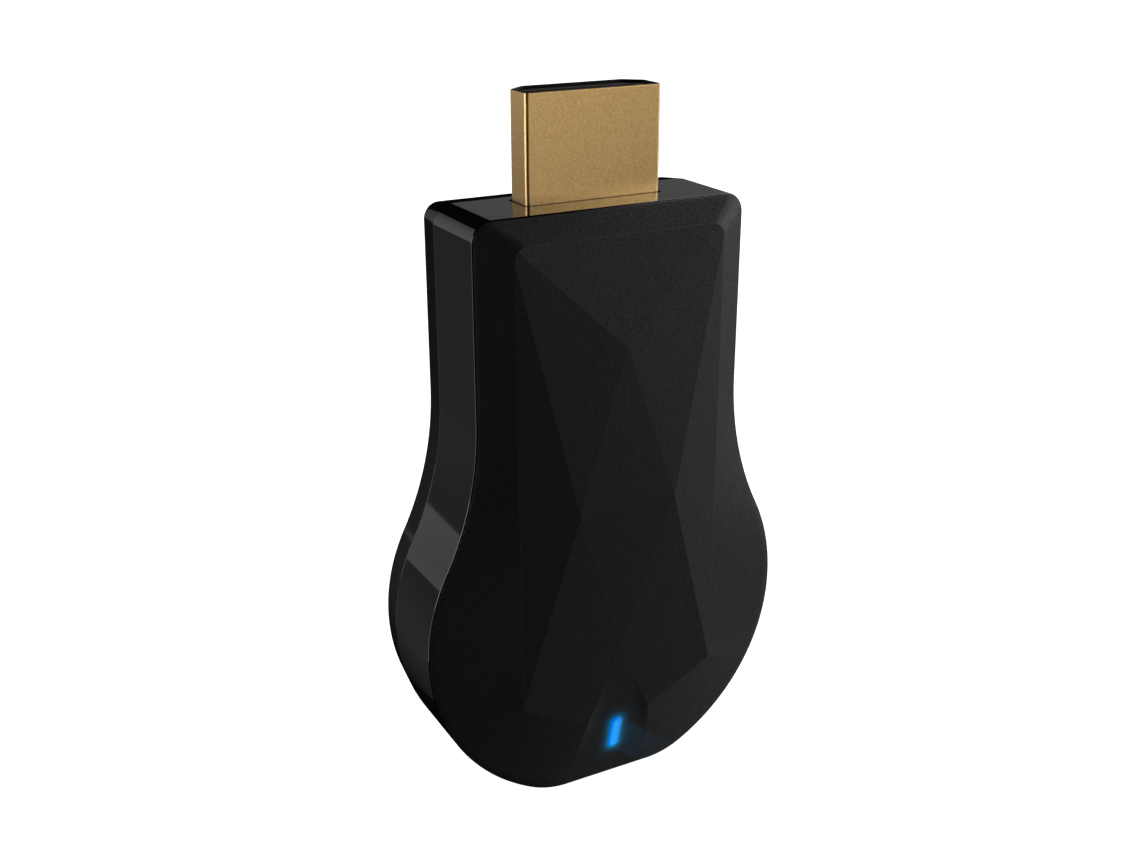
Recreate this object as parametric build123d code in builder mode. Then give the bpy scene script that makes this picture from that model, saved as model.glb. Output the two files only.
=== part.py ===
from build123d import *
import math
import os

os.makedirs("parts", exist_ok=True)

# A plug-in streaming player. Its body is three mouldings: a faceted lid in front, a ring that
# is the side wall, and a back shell. Between them is a circuit board that carries the plug,
# the power socket, the chips and a push switch.
# Millimetres. The origin is the middle of the plug where it leaves the body's top face.
# +Z runs out along the plug, -Y is the faceted front, +X is the side with the button.

# ---- body outline, in any plane across Y -----------------------------------------------
NECK_HALF = 14.02       # half the width beside the plug
TOP_CORNER = 1.95       # radius of the two top corners
NECK_ARC = 31.2         # radius of the hollow flare below the neck
BULGE_ARC = 19.52       # radius of the round lower end
BULGE_Z = -41.4         # height of its centre
BOTTOM_Z = -59.78       # the flat at the lower end
FOOT_HALF = 4.8         # half the width of that flat
HIP_ANGLE = -26.0       # where the lid's hip crease meets the outline, about the bulge's centre

# ---- layers through the thickness ------------------------------------------------------
FRONT_Y = -5.74         # front edge of the ring, under the lid
PARTING_Y = 2.4         # joint between the ring and the back shell
BACK_Y = 5.75           # flat back
BACK_DRAFT = 0.44       # how far the back shell narrows
WALL = 1.5              # wall of the ring
SHELL = 1.3             # thickness of the lid and of the back
RIM_RADIUS = 0.16       # rounded front edge of the ring, and the lid's inset behind it
LID_STEP = 0.06         # upright edge of the lid
GAP = 0.05              # clearance between mouldings
LIP = 0.8               # thickness of the lips that locate the lid and the back shell
LIP_DEPTH = 1.2
LIP_INSET = WALL + GAP
HOLLOW_INSET = LIP_INSET + LIP

# ---- lid facets ------------------------------------------------------------------------
LID_TOP_Z = -2.18       # upper edge of the flat facets
LID_HALF = 10.82        # their straight side edge
LID_CORNER = 1.3
LID_TOP_Y = -7.48
RIDGE_TOP = (0, -8.755, -12.44)
WAIST = (5.13, -9.16, -27.93)
RIDGE_LOW = (0, -8.40, -43.39)
HIP = (10.76, -7.84, -47.94)
CHIN_X = 3.5
CHIN_Z = -51.67
HOLLOW_MARGIN = 1.2     # how far the lid's hollow stays inside its facet edges

# ---- board -----------------------------------------------------------------------------
BOARD = 1.0             # thickness, centred on the plug
BOARD_FRONT = -BOARD / 2
BOARD_BACK = BOARD / 2
BOARD_INSET = 1.9
BOARD_TOP_Z = -6.2
POST_POINTS = [(10.4, -9.0), (-10.4, -9.0), (13.2, -50.0), (-13.2, -50.0)]
POST_RADIUS = 1.3
PIN_RADIUS = 0.55

# ---- plug: the standard 19-contact video plug ------------------------------------------
PLUG_WIDTH = 13.9
PLUG_HEIGHT = 4.45
PLUG_SIDE_Y = 0.81      # where the straight sides end and the narrow back begins
PLUG_BACK_WIDTH = 10.4
PLUG_EDGE = 0.35        # radius of the long edges
PLUG_SHEET = 0.3
PLUG_OUT = 9.94         # length outside the body
PLUG_IN = 6.0           # length inside the body
PLUG_MOUTH = (11.2, 1.3, 8.4)   # width, height and depth of the opening for the mating tongue
CONTACT = (0.45, 0.25)  # width and thickness of a contact
CONTACT_Y = 0.675       # middle of the front row, and of the back row, from the plug's middle
CONTACT_TOP = 8.6
CONTACT_TAIL = 8.2      # how far the tails reach below the top face
CONTACT_PITCH = 1.0

PLUG_TAB = (0.3, 0.8, 2.5)      # solder tab at each side, on the board's front face

# ---- power socket: the standard five-contact micro socket ------------------------------
SOCKET_WIDTH = 7.4
SOCKET_HEIGHT = 2.35
SOCKET_SHEET = 0.25
SOCKET_FACE_Z = -59.3
SOCKET_DEPTH = 5.3
SOCKET_SLOPE = 0.75     # how far the lower corners are cut
SOCKET_BACK_Z = SOCKET_FACE_Z + SOCKET_DEPTH
SOCKET_BASE = 1.2       # thickness of the plastic that closes its back
SOCKET_TONGUE = (3.9, 0.6, 3.6)
SOCKET_TONGUE_Y = -0.25
SOCKET_PITCH = 0.65
SOCKET_CONTACT = (0.4, 0.1, 4.4)
SOCKET_TAB = (1.0, 0.25, 1.0)
SOCKET_TABS_Z = (-56.8, -54.9)
SOCKET_NOTCH = (7.6, -53.7)     # width and upper end of the cut in the board
SOLDER_FOOT = (0.25, 0.8)       # thickness and length of a contact's foot on the board

# ---- light and button ------------------------------------------------------------------
LIGHT_Z = -54.2
LIGHT_WIDTH = 1.3
LIGHT_LENGTH = 4.0
LED_Z = -52.4
LED_SIZE = (1.6, 0.6, 0.8)
PIPE_FLANGE = (5.0, 2.3, 0.5)   # length, width and thickness behind the lid
PIPE_STEM = (1.2, 1.8)
PIPE_FOOT_Y = -1.25
PIPE_STEM_Z = -52.95
BUTTON_Y = -1.9
BUTTON_CAP = (4.8, 1.6) # length along Z and height along Y
BUTTON_PROUD = 0.5
BUTTON_FLANGE = (0.6, 2.4, 6.4)
FLANGE_X = 17.5         # outer face of the flange, inside the ring's wall
SWITCH_BODY = (3.5, 2.6, 6.0)
SWITCH_X = 14.15
SWITCH_PLUNGER = (1.7, 1.3, 2.6)
SWITCH_POCKET = 1.2

# ---- chips and small parts: width along X, height off the board, length along Z --------
PROCESSOR = (13.0, 1.2, 13.0)
PROCESSOR_Z = -27.0
THERMAL_PAD = (12.0, 1.0, 12.0)
SPREADER = (22.0, 0.8, 24.0)
SPREADER_LEG = (1.6, 0.8)
SPREADER_LIFT = PROCESSOR[1] + THERMAL_PAD[1]
SPREADER_END_Z = (SPREADER[2] - SPREADER_LEG[1]) / 2
MEMORY_CHIP = (9.0, 1.0, 13.3)
MEMORY_Z = -20.0
FLASH_CHIP = (11.5, 1.0, 13.0)
FLASH_Z = -37.5
RADIO_CHIP = (7.0, 0.9, 7.0)
RADIO_SHIELD = (12.0, 1.9, 10.0)
RADIO_SHEET = 0.2
RADIO_PLACE = (-5.5, -45.5)
REGULATOR = (3.0, 0.9, 3.0)
REGULATOR_PLACE = (6.4, -44.0)
INDUCTOR = (4.0, 2.0, 4.0)
INDUCTOR_PLACES = [(6.4, -49.0), (10.2, -45.5)]
CRYSTAL = (3.2, 0.75, 2.5)
CRYSTAL_PLACES = [(0.0, -11.6), (9.6, -41.0)]
CAPACITOR = (1.0, 0.5, 0.5)
RESISTOR = (1.0, 0.35, 0.5)
SMALL_PITCH = 2.0
CAPACITOR_FRONT_Z = -13.9
CAPACITOR_BACK_Z = (-28.0, -29.6)
RESISTOR_FRONT_Z = -9.4
RESISTOR_BACK_Z = (-45.8, -47.4)
ANTENNA_X = -14.6
ANTENNA_Z = -42.0
ANTENNA = (2.0, 2.5, 9.0)
ANTENNA_SHEET = 0.3

FRONT_PLANE = Plane.XZ  # sketches on it are in X and Z, and extrude towards -Y


def across(y):
    """The sketch plane at depth `y`; its local axes are X and Z."""
    return FRONT_PLANE.offset(-y)


# ---- outline: arcs of the right half, worked out from the driving dimensions -----------
BULGE_DROP = BULGE_Z - BOTTOM_Z
FOOT_ARC = (BULGE_ARC**2 - FOOT_HALF**2 - BULGE_DROP**2) / (2 * (BULGE_ARC - BULGE_DROP))
FOOT_CENTRE = (FOOT_HALF, BOTTOM_Z + FOOT_ARC)
FOOT_ANGLE = math.degrees(math.atan2(FOOT_CENTRE[1] - BULGE_Z, FOOT_HALF))
NECK_X = NECK_HALF + NECK_ARC
NECK_Z = BULGE_Z + math.sqrt((NECK_ARC + BULGE_ARC)**2 - NECK_X**2)
NECK_ANGLE = math.degrees(math.atan2(NECK_Z - BULGE_Z, NECK_X))


def on_arc(centre, radius, angle):
    """The point of an arc at `angle` degrees."""
    return (centre[0] + radius * math.cos(math.radians(angle)),
            centre[1] + radius * math.sin(math.radians(angle)))


def outline_arcs(inset):
    """Centre, radius, start and end angle of each arc of the right half, from the top down."""
    corner = max(TOP_CORNER - inset, 0.3)
    corner_centre = (NECK_HALF - inset - corner, -inset - corner)
    return [
        (corner_centre, corner, 90.0, 45.0),
        (corner_centre, corner, 45.0, 0.0),
        ((NECK_X, NECK_Z), NECK_ARC + inset, 180.0, 180.0 + NECK_ANGLE),
        ((0.0, BULGE_Z), BULGE_ARC - inset, NECK_ANGLE, HIP_ANGLE),
        ((0.0, BULGE_Z), BULGE_ARC - inset, HIP_ANGLE, FOOT_ANGLE),
        (FOOT_CENTRE, FOOT_ARC - inset, FOOT_ANGLE, -90.0),
    ]


def draw_outline(inset):
    """Draw the closed outline, set in by `inset`, into the line block in use."""
    arcs = outline_arcs(inset)
    starts = [on_arc(c, r, a) for c, r, a, _ in arcs]
    ends = [on_arc(c, r, b) for c, r, _, b in arcs]
    Line((0, starts[0][1]), starts[0])
    Line(ends[1], starts[2])
    Line(ends[-1], (0, ends[-1][1]))
    for centre, radius, start, end in arcs:
        CenterArc(centre, radius, start, end - start)
    mirror(about=Plane.YZ)


# ---- lid: a block whose front is made of flat and ruled facets -------------------------
def height_on(p, q, r, x, z):
    """Y at (x, z) of the plane through three points."""
    normal = (Vector(q) - Vector(p)).cross(Vector(r) - Vector(p))
    return p[1] - (normal.X * (x - p[0]) + normal.Z * (z - p[2])) / normal.Y


def polygon(*points):
    """A flat face through the points."""
    return Face(Wire.make_polygon(points, close=True))


def ruled(outer, inner_start, inner_end):
    """A ruled face from an edge of the outline to a straight stretch of the facet edge."""
    return Face.make_surface_from_curves(outer, Edge.make_line(inner_start, inner_end))


def between(p, q, t):
    """The point at fraction `t` of the way from p to q."""
    return tuple(a + (b - a) * t for a, b in zip(p, q))


def facet_block(inset, base_y, sink, margin):
    """Closed solid from the plane y = base_y up to the facets, which are pushed in by `sink`.

    The flat facets meet along straight creases. Between their edge and the outline the
    surface is ruled, and so follows the outline's arcs.
    """
    half = LID_HALF - margin
    top_z = LID_TOP_Z - margin
    ridge_top = (0, RIDGE_TOP[1] + sink, RIDGE_TOP[2])
    ridge_low = (0, RIDGE_LOW[1] + sink, RIDGE_LOW[2])
    waist = (WAIST[0], WAIST[1] + sink, WAIST[2])
    hip = (HIP[0] - margin, HIP[1] + sink, HIP[2])
    top_end = (half - LID_CORNER, LID_TOP_Y + sink, top_z)
    top_left = (-top_end[0], top_end[1], top_end[2])
    corner_centre = (top_end[0], top_z - LID_CORNER)

    def corner_point(angle, p, q, r):
        x, z = on_arc(corner_centre, LID_CORNER, angle)
        return (x, height_on(p, q, r, x, z), z)

    top_facet = (ridge_top, top_end, top_left)
    corner = corner_point(45.0, *top_facet)
    side_facet = (ridge_top, corner, waist)
    side_top = corner_point(0.0, *side_facet)
    upper_arc = Edge.make_three_point_arc(top_end, corner_point(67.5, *top_facet), corner)
    lower_arc = Edge.make_three_point_arc(corner, corner_point(22.5, *side_facet), side_top)
    chin = (CHIN_X, height_on(waist, ridge_low, hip, CHIN_X, CHIN_Z), CHIN_Z)

    plane = across(base_y)
    arcs = outline_arcs(inset)
    rim = [plane * CenterArc(c, r, a, b - a).edge() for c, r, a, b in arcs]
    side_line = Edge.make_line(rim[1] @ 1, rim[2] @ 0)
    foot = rim[5] @ 1
    crown = rim[0] @ 0

    side_span = side_top[2] - hip[2]
    side_edges = [side_line, rim[2], rim[3]]
    side_cuts = [0.0]
    for edge in side_edges:
        drop = ((edge @ 0).Z - (edge @ 1).Z) / ((side_line @ 0).Z - (rim[3] @ 1).Z)
        side_cuts.append(side_cuts[-1] + drop)
    chin_cut = rim[4].length / (rim[4].length + rim[5].length)

    right = [
        Face.make_surface_from_curves(rim[0], upper_arc),
        Face.make_surface_from_curves(rim[1], lower_arc),
        Face(Wire([Edge.make_line(ridge_top, corner), lower_arc,
                   Edge.make_line(side_top, waist), Edge.make_line(waist, ridge_top)])),
        polygon(side_top, waist, hip),
        polygon(waist, ridge_low, chin, hip),
        ruled(rim[4], hip, between(hip, chin, chin_cut)),
        ruled(rim[5], between(hip, chin, chin_cut), chin),
    ]
    for edge, start, end in zip(side_edges, side_cuts[:-1], side_cuts[1:]):
        right.append(ruled(edge, between(side_top, hip, start), between(side_top, hip, end)))
    left = [face.mirror(Plane.YZ) for face in right]

    def flip(p):
        return (-p[0], p[1], p[2])

    middle = [
        Face(Wire([Edge.make_line(flip(top_end), top_end), upper_arc,
                   Edge.make_line(corner, ridge_top), Edge.make_line(ridge_top, flip(corner)),
                   upper_arc.mirror(Plane.YZ)])),
        polygon(tuple(crown), flip(tuple(crown)), flip(top_end), top_end),
        polygon(ridge_top, waist, flip(waist)),
        polygon(ridge_low, waist, flip(waist)),
        polygon(ridge_low, chin, flip(chin)),
        polygon(chin, tuple(foot), flip(tuple(foot)), flip(chin)),
    ]
    half_rim = rim[:2] + [side_line] + rim[2:]
    base_edges = half_rim + [edge.mirror(Plane.YZ) for edge in half_rim]
    base_edges.append(Edge.make_line(crown, flip(tuple(crown))))
    base_edges.append(Edge.make_line(foot, flip(tuple(foot))))
    base = Face(Wire(base_edges))
    return Solid(Shell(right + left + middle + [base]))


def chin_plane():
    """Sketch plane on the chin facet, at the middle of the light."""
    chin_y = height_on(WAIST, RIDGE_LOW, HIP, CHIN_X, CHIN_Z)
    slope = (FRONT_Y - LID_STEP - chin_y) / (CHIN_Z - BOTTOM_Z)
    surface_y = chin_y + slope * (CHIN_Z - LIGHT_Z)
    return Plane(origin=(0, surface_y, LIGHT_Z), x_dir=(1, 0, 0), z_dir=(0, -1, -slope))


def plug_outline(grow):
    """Draw the plug's section, grown outwards by `grow`, into the line block in use."""
    half = PLUG_WIDTH / 2 + grow
    back_half = PLUG_BACK_WIDTH / 2 + grow
    front = -PLUG_HEIGHT / 2 - grow
    back = PLUG_HEIGHT / 2 + grow
    Polyline((-half, front), (half, front), (half, PLUG_SIDE_Y), (back_half, back),
             (-back_half, back), (-half, PLUG_SIDE_Y), (-half, front))


LIGHT_PLANE = chin_plane()
LID_EDGE_Y = FRONT_Y - LID_STEP
lid_outside = facet_block(RIM_RADIUS, LID_EDGE_Y, 0.0, 0.0)
lid_hollow = facet_block(HOLLOW_INSET, LID_EDGE_Y, SHELL, HOLLOW_MARGIN)

with BuildPart() as front_cover:
    with BuildSketch(across(FRONT_Y)):
        with BuildLine():
            draw_outline(RIM_RADIUS)
        make_face()
    extrude(amount=LID_STEP)
    add(lid_outside)
    with BuildSketch(across(FRONT_Y + LIP_DEPTH)):
        with BuildLine():
            draw_outline(LIP_INSET)
        make_face()
    extrude(amount=LIP_DEPTH)
    with BuildSketch(across(FRONT_Y + LIP_DEPTH)):
        with BuildLine():
            draw_outline(HOLLOW_INSET)
        make_face()
    extrude(amount=LIP_DEPTH + LID_STEP, mode=Mode.SUBTRACT)
    add(lid_hollow, mode=Mode.SUBTRACT)
    with BuildSketch(across(BOARD_FRONT)):
        with Locations(*POST_POINTS):
            Circle(POST_RADIUS)
    extrude(until=Until.NEXT)
    with BuildSketch(across(BOARD_FRONT)):
        with Locations(*POST_POINTS):
            Circle(PIN_RADIUS + GAP)
    extrude(amount=LIP_DEPTH, mode=Mode.SUBTRACT)
    with BuildSketch(LIGHT_PLANE):
        SlotOverall(LIGHT_LENGTH + 2 * GAP, LIGHT_WIDTH + 2 * GAP, rotation=90)
    extrude(amount=SHELL * 2, both=True, mode=Mode.SUBTRACT)

with BuildPart() as side_frame:
    with BuildSketch(across(PARTING_Y)):
        with BuildLine():
            draw_outline(0.0)
        make_face()
    extrude(amount=PARTING_Y - FRONT_Y)
    fillet(side_frame.faces().sort_by(Axis.Y)[0].edges(), radius=RIM_RADIUS)
    with BuildSketch(across(PARTING_Y)):
        with BuildLine():
            draw_outline(WALL)
        make_face()
    extrude(amount=PARTING_Y - FRONT_Y, mode=Mode.SUBTRACT)
    with BuildSketch(Plane.XY):
        with BuildLine():
            plug_outline(2 * GAP)
        make_face()
    extrude(amount=-2 * WALL, mode=Mode.SUBTRACT)
    with BuildSketch(Plane.XY.offset(BOTTOM_Z)):
        RectangleRounded(SOCKET_WIDTH + 4 * GAP, SOCKET_HEIGHT + 4 * GAP, SOCKET_SHEET)
    extrude(amount=2 * WALL, mode=Mode.SUBTRACT)
    with BuildSketch(Plane.YZ.offset(BULGE_ARC + BUTTON_PROUD)):
        with Locations((BUTTON_Y, BULGE_Z)):
            SlotOverall(BUTTON_CAP[0] + 4 * GAP, BUTTON_CAP[1] + 4 * GAP, rotation=90)
    extrude(amount=-2 * WALL - BUTTON_PROUD, mode=Mode.SUBTRACT)

with BuildPart() as back_cover:
    with BuildSketch(across(PARTING_Y)):
        with BuildLine():
            draw_outline(0.0)
        make_face()
    with BuildSketch(across(BACK_Y)):
        with BuildLine():
            draw_outline(BACK_DRAFT)
        make_face()
    loft(ruled=True)
    with BuildSketch(across(PARTING_Y)):
        with BuildLine():
            draw_outline(LIP_INSET)
        make_face()
    extrude(amount=LIP_DEPTH)
    with BuildSketch(across(BACK_Y - SHELL)):
        with BuildLine():
            draw_outline(HOLLOW_INSET)
        make_face()
    extrude(amount=BACK_Y - SHELL - PARTING_Y + LIP_DEPTH, mode=Mode.SUBTRACT)
    with BuildSketch(across(BACK_Y - SHELL)):
        with Locations(*POST_POINTS):
            Circle(POST_RADIUS)
    extrude(amount=BACK_Y - SHELL - BOARD_BACK)
    with BuildSketch(across(BACK_Y - SHELL)):
        with Locations(*POST_POINTS):
            Circle(PIN_RADIUS)
    extrude(amount=BACK_Y - SHELL - BOARD_FRONT + LIP_DEPTH / 2)
    with BuildSketch(Plane.XY):
        with BuildLine():
            plug_outline(4 * GAP)
        make_face()
    extrude(amount=-PLUG_IN, mode=Mode.SUBTRACT)

# ---- plug ------------------------------------------------------------------------------
with BuildPart() as plug_shell:
    with BuildSketch(Plane.XY.offset(-PLUG_IN)):
        with BuildLine():
            plug_outline(0.0)
        make_face()
    extrude(amount=PLUG_IN + PLUG_OUT)
    fillet(plug_shell.edges().filter_by(Axis.Z), radius=PLUG_EDGE)
    with BuildSketch(Plane.XY.offset(-PLUG_IN)):
        with BuildLine():
            plug_outline(-PLUG_SHEET)
        make_face()
    extrude(amount=PLUG_IN + PLUG_OUT, mode=Mode.SUBTRACT)
    fillet(plug_shell.faces().sort_by(Axis.Z)[-1].outer_wire().edges(), radius=PLUG_SHEET / 2)
    with GridLocations(PLUG_WIDTH - PLUG_SHEET, 1, 2, 1):
        with Locations((0, BOARD_FRONT - PLUG_TAB[1] / 2, -PLUG_IN)):
            Box(*PLUG_TAB, align=(Align.CENTER, Align.CENTER, Align.MAX))


def contact_row(y, count):
    """Places of a row's contacts, one pitch apart and centred on the plug."""
    first = -(count - 1) / 2 * CONTACT_PITCH
    return [(first + i * CONTACT_PITCH, y, (CONTACT_TOP - CONTACT_TAIL) / 2) for i in range(count)]


FRONT_ROW = contact_row(-CONTACT_Y, 10)
BACK_ROW = contact_row(CONTACT_Y, 9)
CONTACT_LENGTH = CONTACT_TOP + CONTACT_TAIL

with BuildPart() as plug_insulator:
    with BuildSketch(Plane.XY.offset(-PLUG_IN)):
        with BuildLine():
            plug_outline(-PLUG_SHEET)
        make_face()
    extrude(amount=PLUG_IN + PLUG_OUT - PLUG_SHEET)
    with Locations((0, 0, PLUG_OUT)):
        Box(*PLUG_MOUTH, align=(Align.CENTER, Align.CENTER, Align.MAX), mode=Mode.SUBTRACT)
    with Locations(*FRONT_ROW, *BACK_ROW):
        Box(*CONTACT, CONTACT_LENGTH, mode=Mode.SUBTRACT)

with BuildPart() as plug_contacts_front:
    with Locations(*FRONT_ROW):
        Box(*CONTACT, CONTACT_LENGTH)

with BuildPart() as plug_contacts_back:
    with Locations(*BACK_ROW):
        Box(*CONTACT, CONTACT_LENGTH)


# ---- power socket ----------------------------------------------------------------------
def socket_outline(grow):
    """Draw the socket's section, grown outwards by `grow`, into the line block in use."""
    half = SOCKET_WIDTH / 2 + grow
    top = SOCKET_HEIGHT / 2 + grow
    cut = SOCKET_SLOPE + grow / 2
    Polyline((-half, -top), (half, -top), (half, top - cut), (half - cut, top),
             (-half + cut, top), (-half, top - cut), (-half, -top))


SOCKET_TAB_X = SOCKET_WIDTH / 2 + SOCKET_TAB[0] / 2 - SOCKET_SHEET
SOCKET_TAB_Y = BOARD_FRONT - SOCKET_TAB[1] / 2
SOCKET_TAB_PLACES = [(side * SOCKET_TAB_X, SOCKET_TAB_Y, z) for side in (1, -1) for z in SOCKET_TABS_Z]
TONGUE_TOP_Y = SOCKET_TONGUE_Y + SOCKET_TONGUE[1] / 2
SOCKET_CONTACT_Y = TONGUE_TOP_Y + SOCKET_CONTACT[1] / 2
SOCKET_CONTACT_X = [(i - 2) * SOCKET_PITCH for i in range(5)]

with BuildPart() as power_socket_shell:
    with BuildSketch(Plane.XY.offset(SOCKET_FACE_Z)):
        with BuildLine():
            socket_outline(0.0)
        make_face()
    extrude(amount=SOCKET_DEPTH)
    fillet(power_socket_shell.edges().filter_by(Axis.Z), radius=SOCKET_SHEET)
    with Locations(*SOCKET_TAB_PLACES):
        Box(*SOCKET_TAB)
    with BuildSketch(Plane.XY.offset(SOCKET_FACE_Z)):
        with BuildLine():
            socket_outline(-SOCKET_SHEET)
        make_face()
    extrude(amount=SOCKET_DEPTH, mode=Mode.SUBTRACT)

with BuildPart() as power_socket_contacts:
    with Locations(*[(x, SOCKET_CONTACT_Y, SOCKET_BACK_Z) for x in SOCKET_CONTACT_X]):
        Box(*SOCKET_CONTACT, align=(Align.CENTER, Align.CENTER, Align.MAX))
    leg_span = TONGUE_TOP_Y + SOCKET_CONTACT[1] - BOARD_FRONT + SOLDER_FOOT[0]
    with Locations(*[(x, BOARD_FRONT - SOLDER_FOOT[0], SOCKET_BACK_Z) for x in SOCKET_CONTACT_X]):
        Box(SOCKET_CONTACT[0], leg_span, SOCKET_CONTACT[1], align=(Align.CENTER, Align.MIN, Align.MIN))
        Box(SOCKET_CONTACT[0], SOLDER_FOOT[0], SOLDER_FOOT[1], align=(Align.CENTER, Align.MIN, Align.MIN))

with BuildPart() as power_socket_tongue:
    with BuildSketch(Plane.XY.offset(SOCKET_BACK_Z)):
        with BuildLine():
            socket_outline(-SOCKET_SHEET)
        make_face()
    extrude(amount=-SOCKET_BASE)
    with Locations((0, SOCKET_TONGUE_Y, SOCKET_BACK_Z - SOCKET_BASE)):
        Box(*SOCKET_TONGUE, align=(Align.CENTER, Align.CENTER, Align.MAX))
    with Locations(*[(x, SOCKET_CONTACT_Y, SOCKET_BACK_Z) for x in SOCKET_CONTACT_X]):
        Box(*SOCKET_CONTACT, align=(Align.CENTER, Align.CENTER, Align.MAX), mode=Mode.SUBTRACT)

# ---- board -----------------------------------------------------------------------------
with BuildPart() as circuit_board:
    with BuildSketch(across(BOARD_BACK)):
        with BuildLine():
            draw_outline(BOARD_INSET)
        make_face()
        with Locations((0, BOARD_TOP_Z)):
            Rectangle(2 * NECK_HALF, -BOARD_TOP_Z, align=(Align.CENTER, Align.MIN), mode=Mode.SUBTRACT)
        with Locations((0, SOCKET_NOTCH[1])):
            Rectangle(SOCKET_NOTCH[0], SOCKET_DEPTH, align=(Align.CENTER, Align.MAX), mode=Mode.SUBTRACT)
        with Locations(*POST_POINTS):
            Circle(PIN_RADIUS + GAP, mode=Mode.SUBTRACT)
    extrude(amount=BOARD)

FRONT_SEAT = (Align.CENTER, Align.MAX, Align.CENTER)
BACK_SEAT = (Align.CENTER, Align.MIN, Align.CENTER)


def on_front(places):
    """Points on the board's front face."""
    return [(x, BOARD_FRONT, z) for x, z in places]


def small_row(z, count):
    """Places of a row of small parts, one pitch apart and centred."""
    first = -(count - 1) / 2 * SMALL_PITCH
    return [(first + i * SMALL_PITCH, z) for i in range(count)]


with BuildPart() as processor:
    with Locations((0, BOARD_FRONT, PROCESSOR_Z)):
        Box(*PROCESSOR, align=FRONT_SEAT)

with BuildPart() as thermal_pad:
    with Locations((0, BOARD_FRONT - PROCESSOR[1], PROCESSOR_Z)):
        Box(*THERMAL_PAD, align=FRONT_SEAT)

with BuildPart() as heat_spreader:
    with Locations((0, BOARD_FRONT - SPREADER_LIFT, PROCESSOR_Z)):
        Box(*SPREADER, align=FRONT_SEAT)
    fillet(heat_spreader.edges().filter_by(Axis.Y), radius=SPREADER_LEG[1])
    with Locations((0, BOARD_FRONT, PROCESSOR_Z)):
        with GridLocations(SPREADER[0] - SPREADER_LEG[1], 0, 2, 1):
            Box(SPREADER_LEG[1], SPREADER_LIFT, SPREADER_LEG[0], align=FRONT_SEAT)
        with Locations((0, 0, SPREADER_END_Z), (0, 0, -SPREADER_END_Z)):
            Box(SPREADER_LEG[0], SPREADER_LIFT, SPREADER_LEG[1], align=FRONT_SEAT)

with BuildPart() as memory_chip:
    with Locations((0, BOARD_BACK, MEMORY_Z)):
        Box(*MEMORY_CHIP, align=BACK_SEAT)

with BuildPart() as flash_chip:
    with Locations((0, BOARD_BACK, FLASH_Z)):
        Box(*FLASH_CHIP, align=BACK_SEAT)

with BuildPart() as radio_chip:
    with Locations(*on_front([RADIO_PLACE])):
        Box(*RADIO_CHIP, align=FRONT_SEAT)

with BuildPart() as radio_shield:
    with Locations(*on_front([RADIO_PLACE])):
        Box(*RADIO_SHIELD, align=FRONT_SEAT)
    fillet(radio_shield.edges().filter_by(Axis.Y), radius=3 * RADIO_SHEET)
    board_side = radio_shield.faces().sort_by(Axis.Y)[-1]
    offset(amount=-RADIO_SHEET, openings=board_side)

with BuildPart() as antenna:
    with Locations((ANTENNA_X, BOARD_FRONT, ANTENNA_Z)):
        Box(ANTENNA_SHEET, ANTENNA[1], ANTENNA[2], align=(Align.MIN, Align.MAX, Align.CENTER))
    with Locations((ANTENNA_X, BOARD_FRONT - ANTENNA[1], ANTENNA_Z)):
        Box(ANTENNA[0], ANTENNA_SHEET, ANTENNA[2], align=(Align.MIN, Align.MIN, Align.CENTER))
    with Locations((ANTENNA_X, BOARD_FRONT, ANTENNA_Z - ANTENNA[2] / 6)):
        Box(ANTENNA[0], ANTENNA[1] * 2 / 3, ANTENNA[2] / 2, mode=Mode.SUBTRACT)

with BuildPart() as regulator:
    with Locations(*on_front([REGULATOR_PLACE])):
        Box(*REGULATOR, align=FRONT_SEAT)

with BuildPart() as inductors:
    with Locations(*on_front(INDUCTOR_PLACES)):
        Box(*INDUCTOR, align=FRONT_SEAT)

with BuildPart() as crystals:
    with Locations(*on_front(CRYSTAL_PLACES)):
        Box(*CRYSTAL, align=FRONT_SEAT)

with BuildPart() as capacitors:
    with Locations(*on_front(small_row(CAPACITOR_FRONT_Z, 9))):
        Box(*CAPACITOR, align=FRONT_SEAT)
    with Locations(*[(x, BOARD_BACK, z) for z in CAPACITOR_BACK_Z for x, _ in small_row(z, 8)]):
        Box(*CAPACITOR, align=BACK_SEAT)

with BuildPart() as resistors:
    with Locations(*on_front(small_row(RESISTOR_FRONT_Z, 8))):
        Box(*RESISTOR, align=FRONT_SEAT)
    with Locations(*[(x, BOARD_BACK, z) for z in RESISTOR_BACK_Z for x, _ in small_row(z, 7)]):
        Box(*RESISTOR, align=BACK_SEAT)

# ---- light -----------------------------------------------------------------------------
with BuildPart() as status_led:
    with Locations((0, BOARD_FRONT, LED_Z)):
        Box(*LED_SIZE, align=FRONT_SEAT)

with BuildPart() as light_pipe:
    with BuildSketch(LIGHT_PLANE):
        SlotOverall(LIGHT_LENGTH, LIGHT_WIDTH, rotation=90)
    extrude(amount=-SHELL - GAP)
    with BuildSketch(LIGHT_PLANE.offset(-SHELL - GAP)):
        SlotOverall(PIPE_FLANGE[0], PIPE_FLANGE[1], rotation=90)
    extrude(amount=-PIPE_FLANGE[2])
    with BuildSketch(across(PIPE_FOOT_Y)):
        with Locations((0, PIPE_STEM_Z)):
            Rectangle(*PIPE_STEM)
    extrude(until=Until.NEXT)

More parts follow.
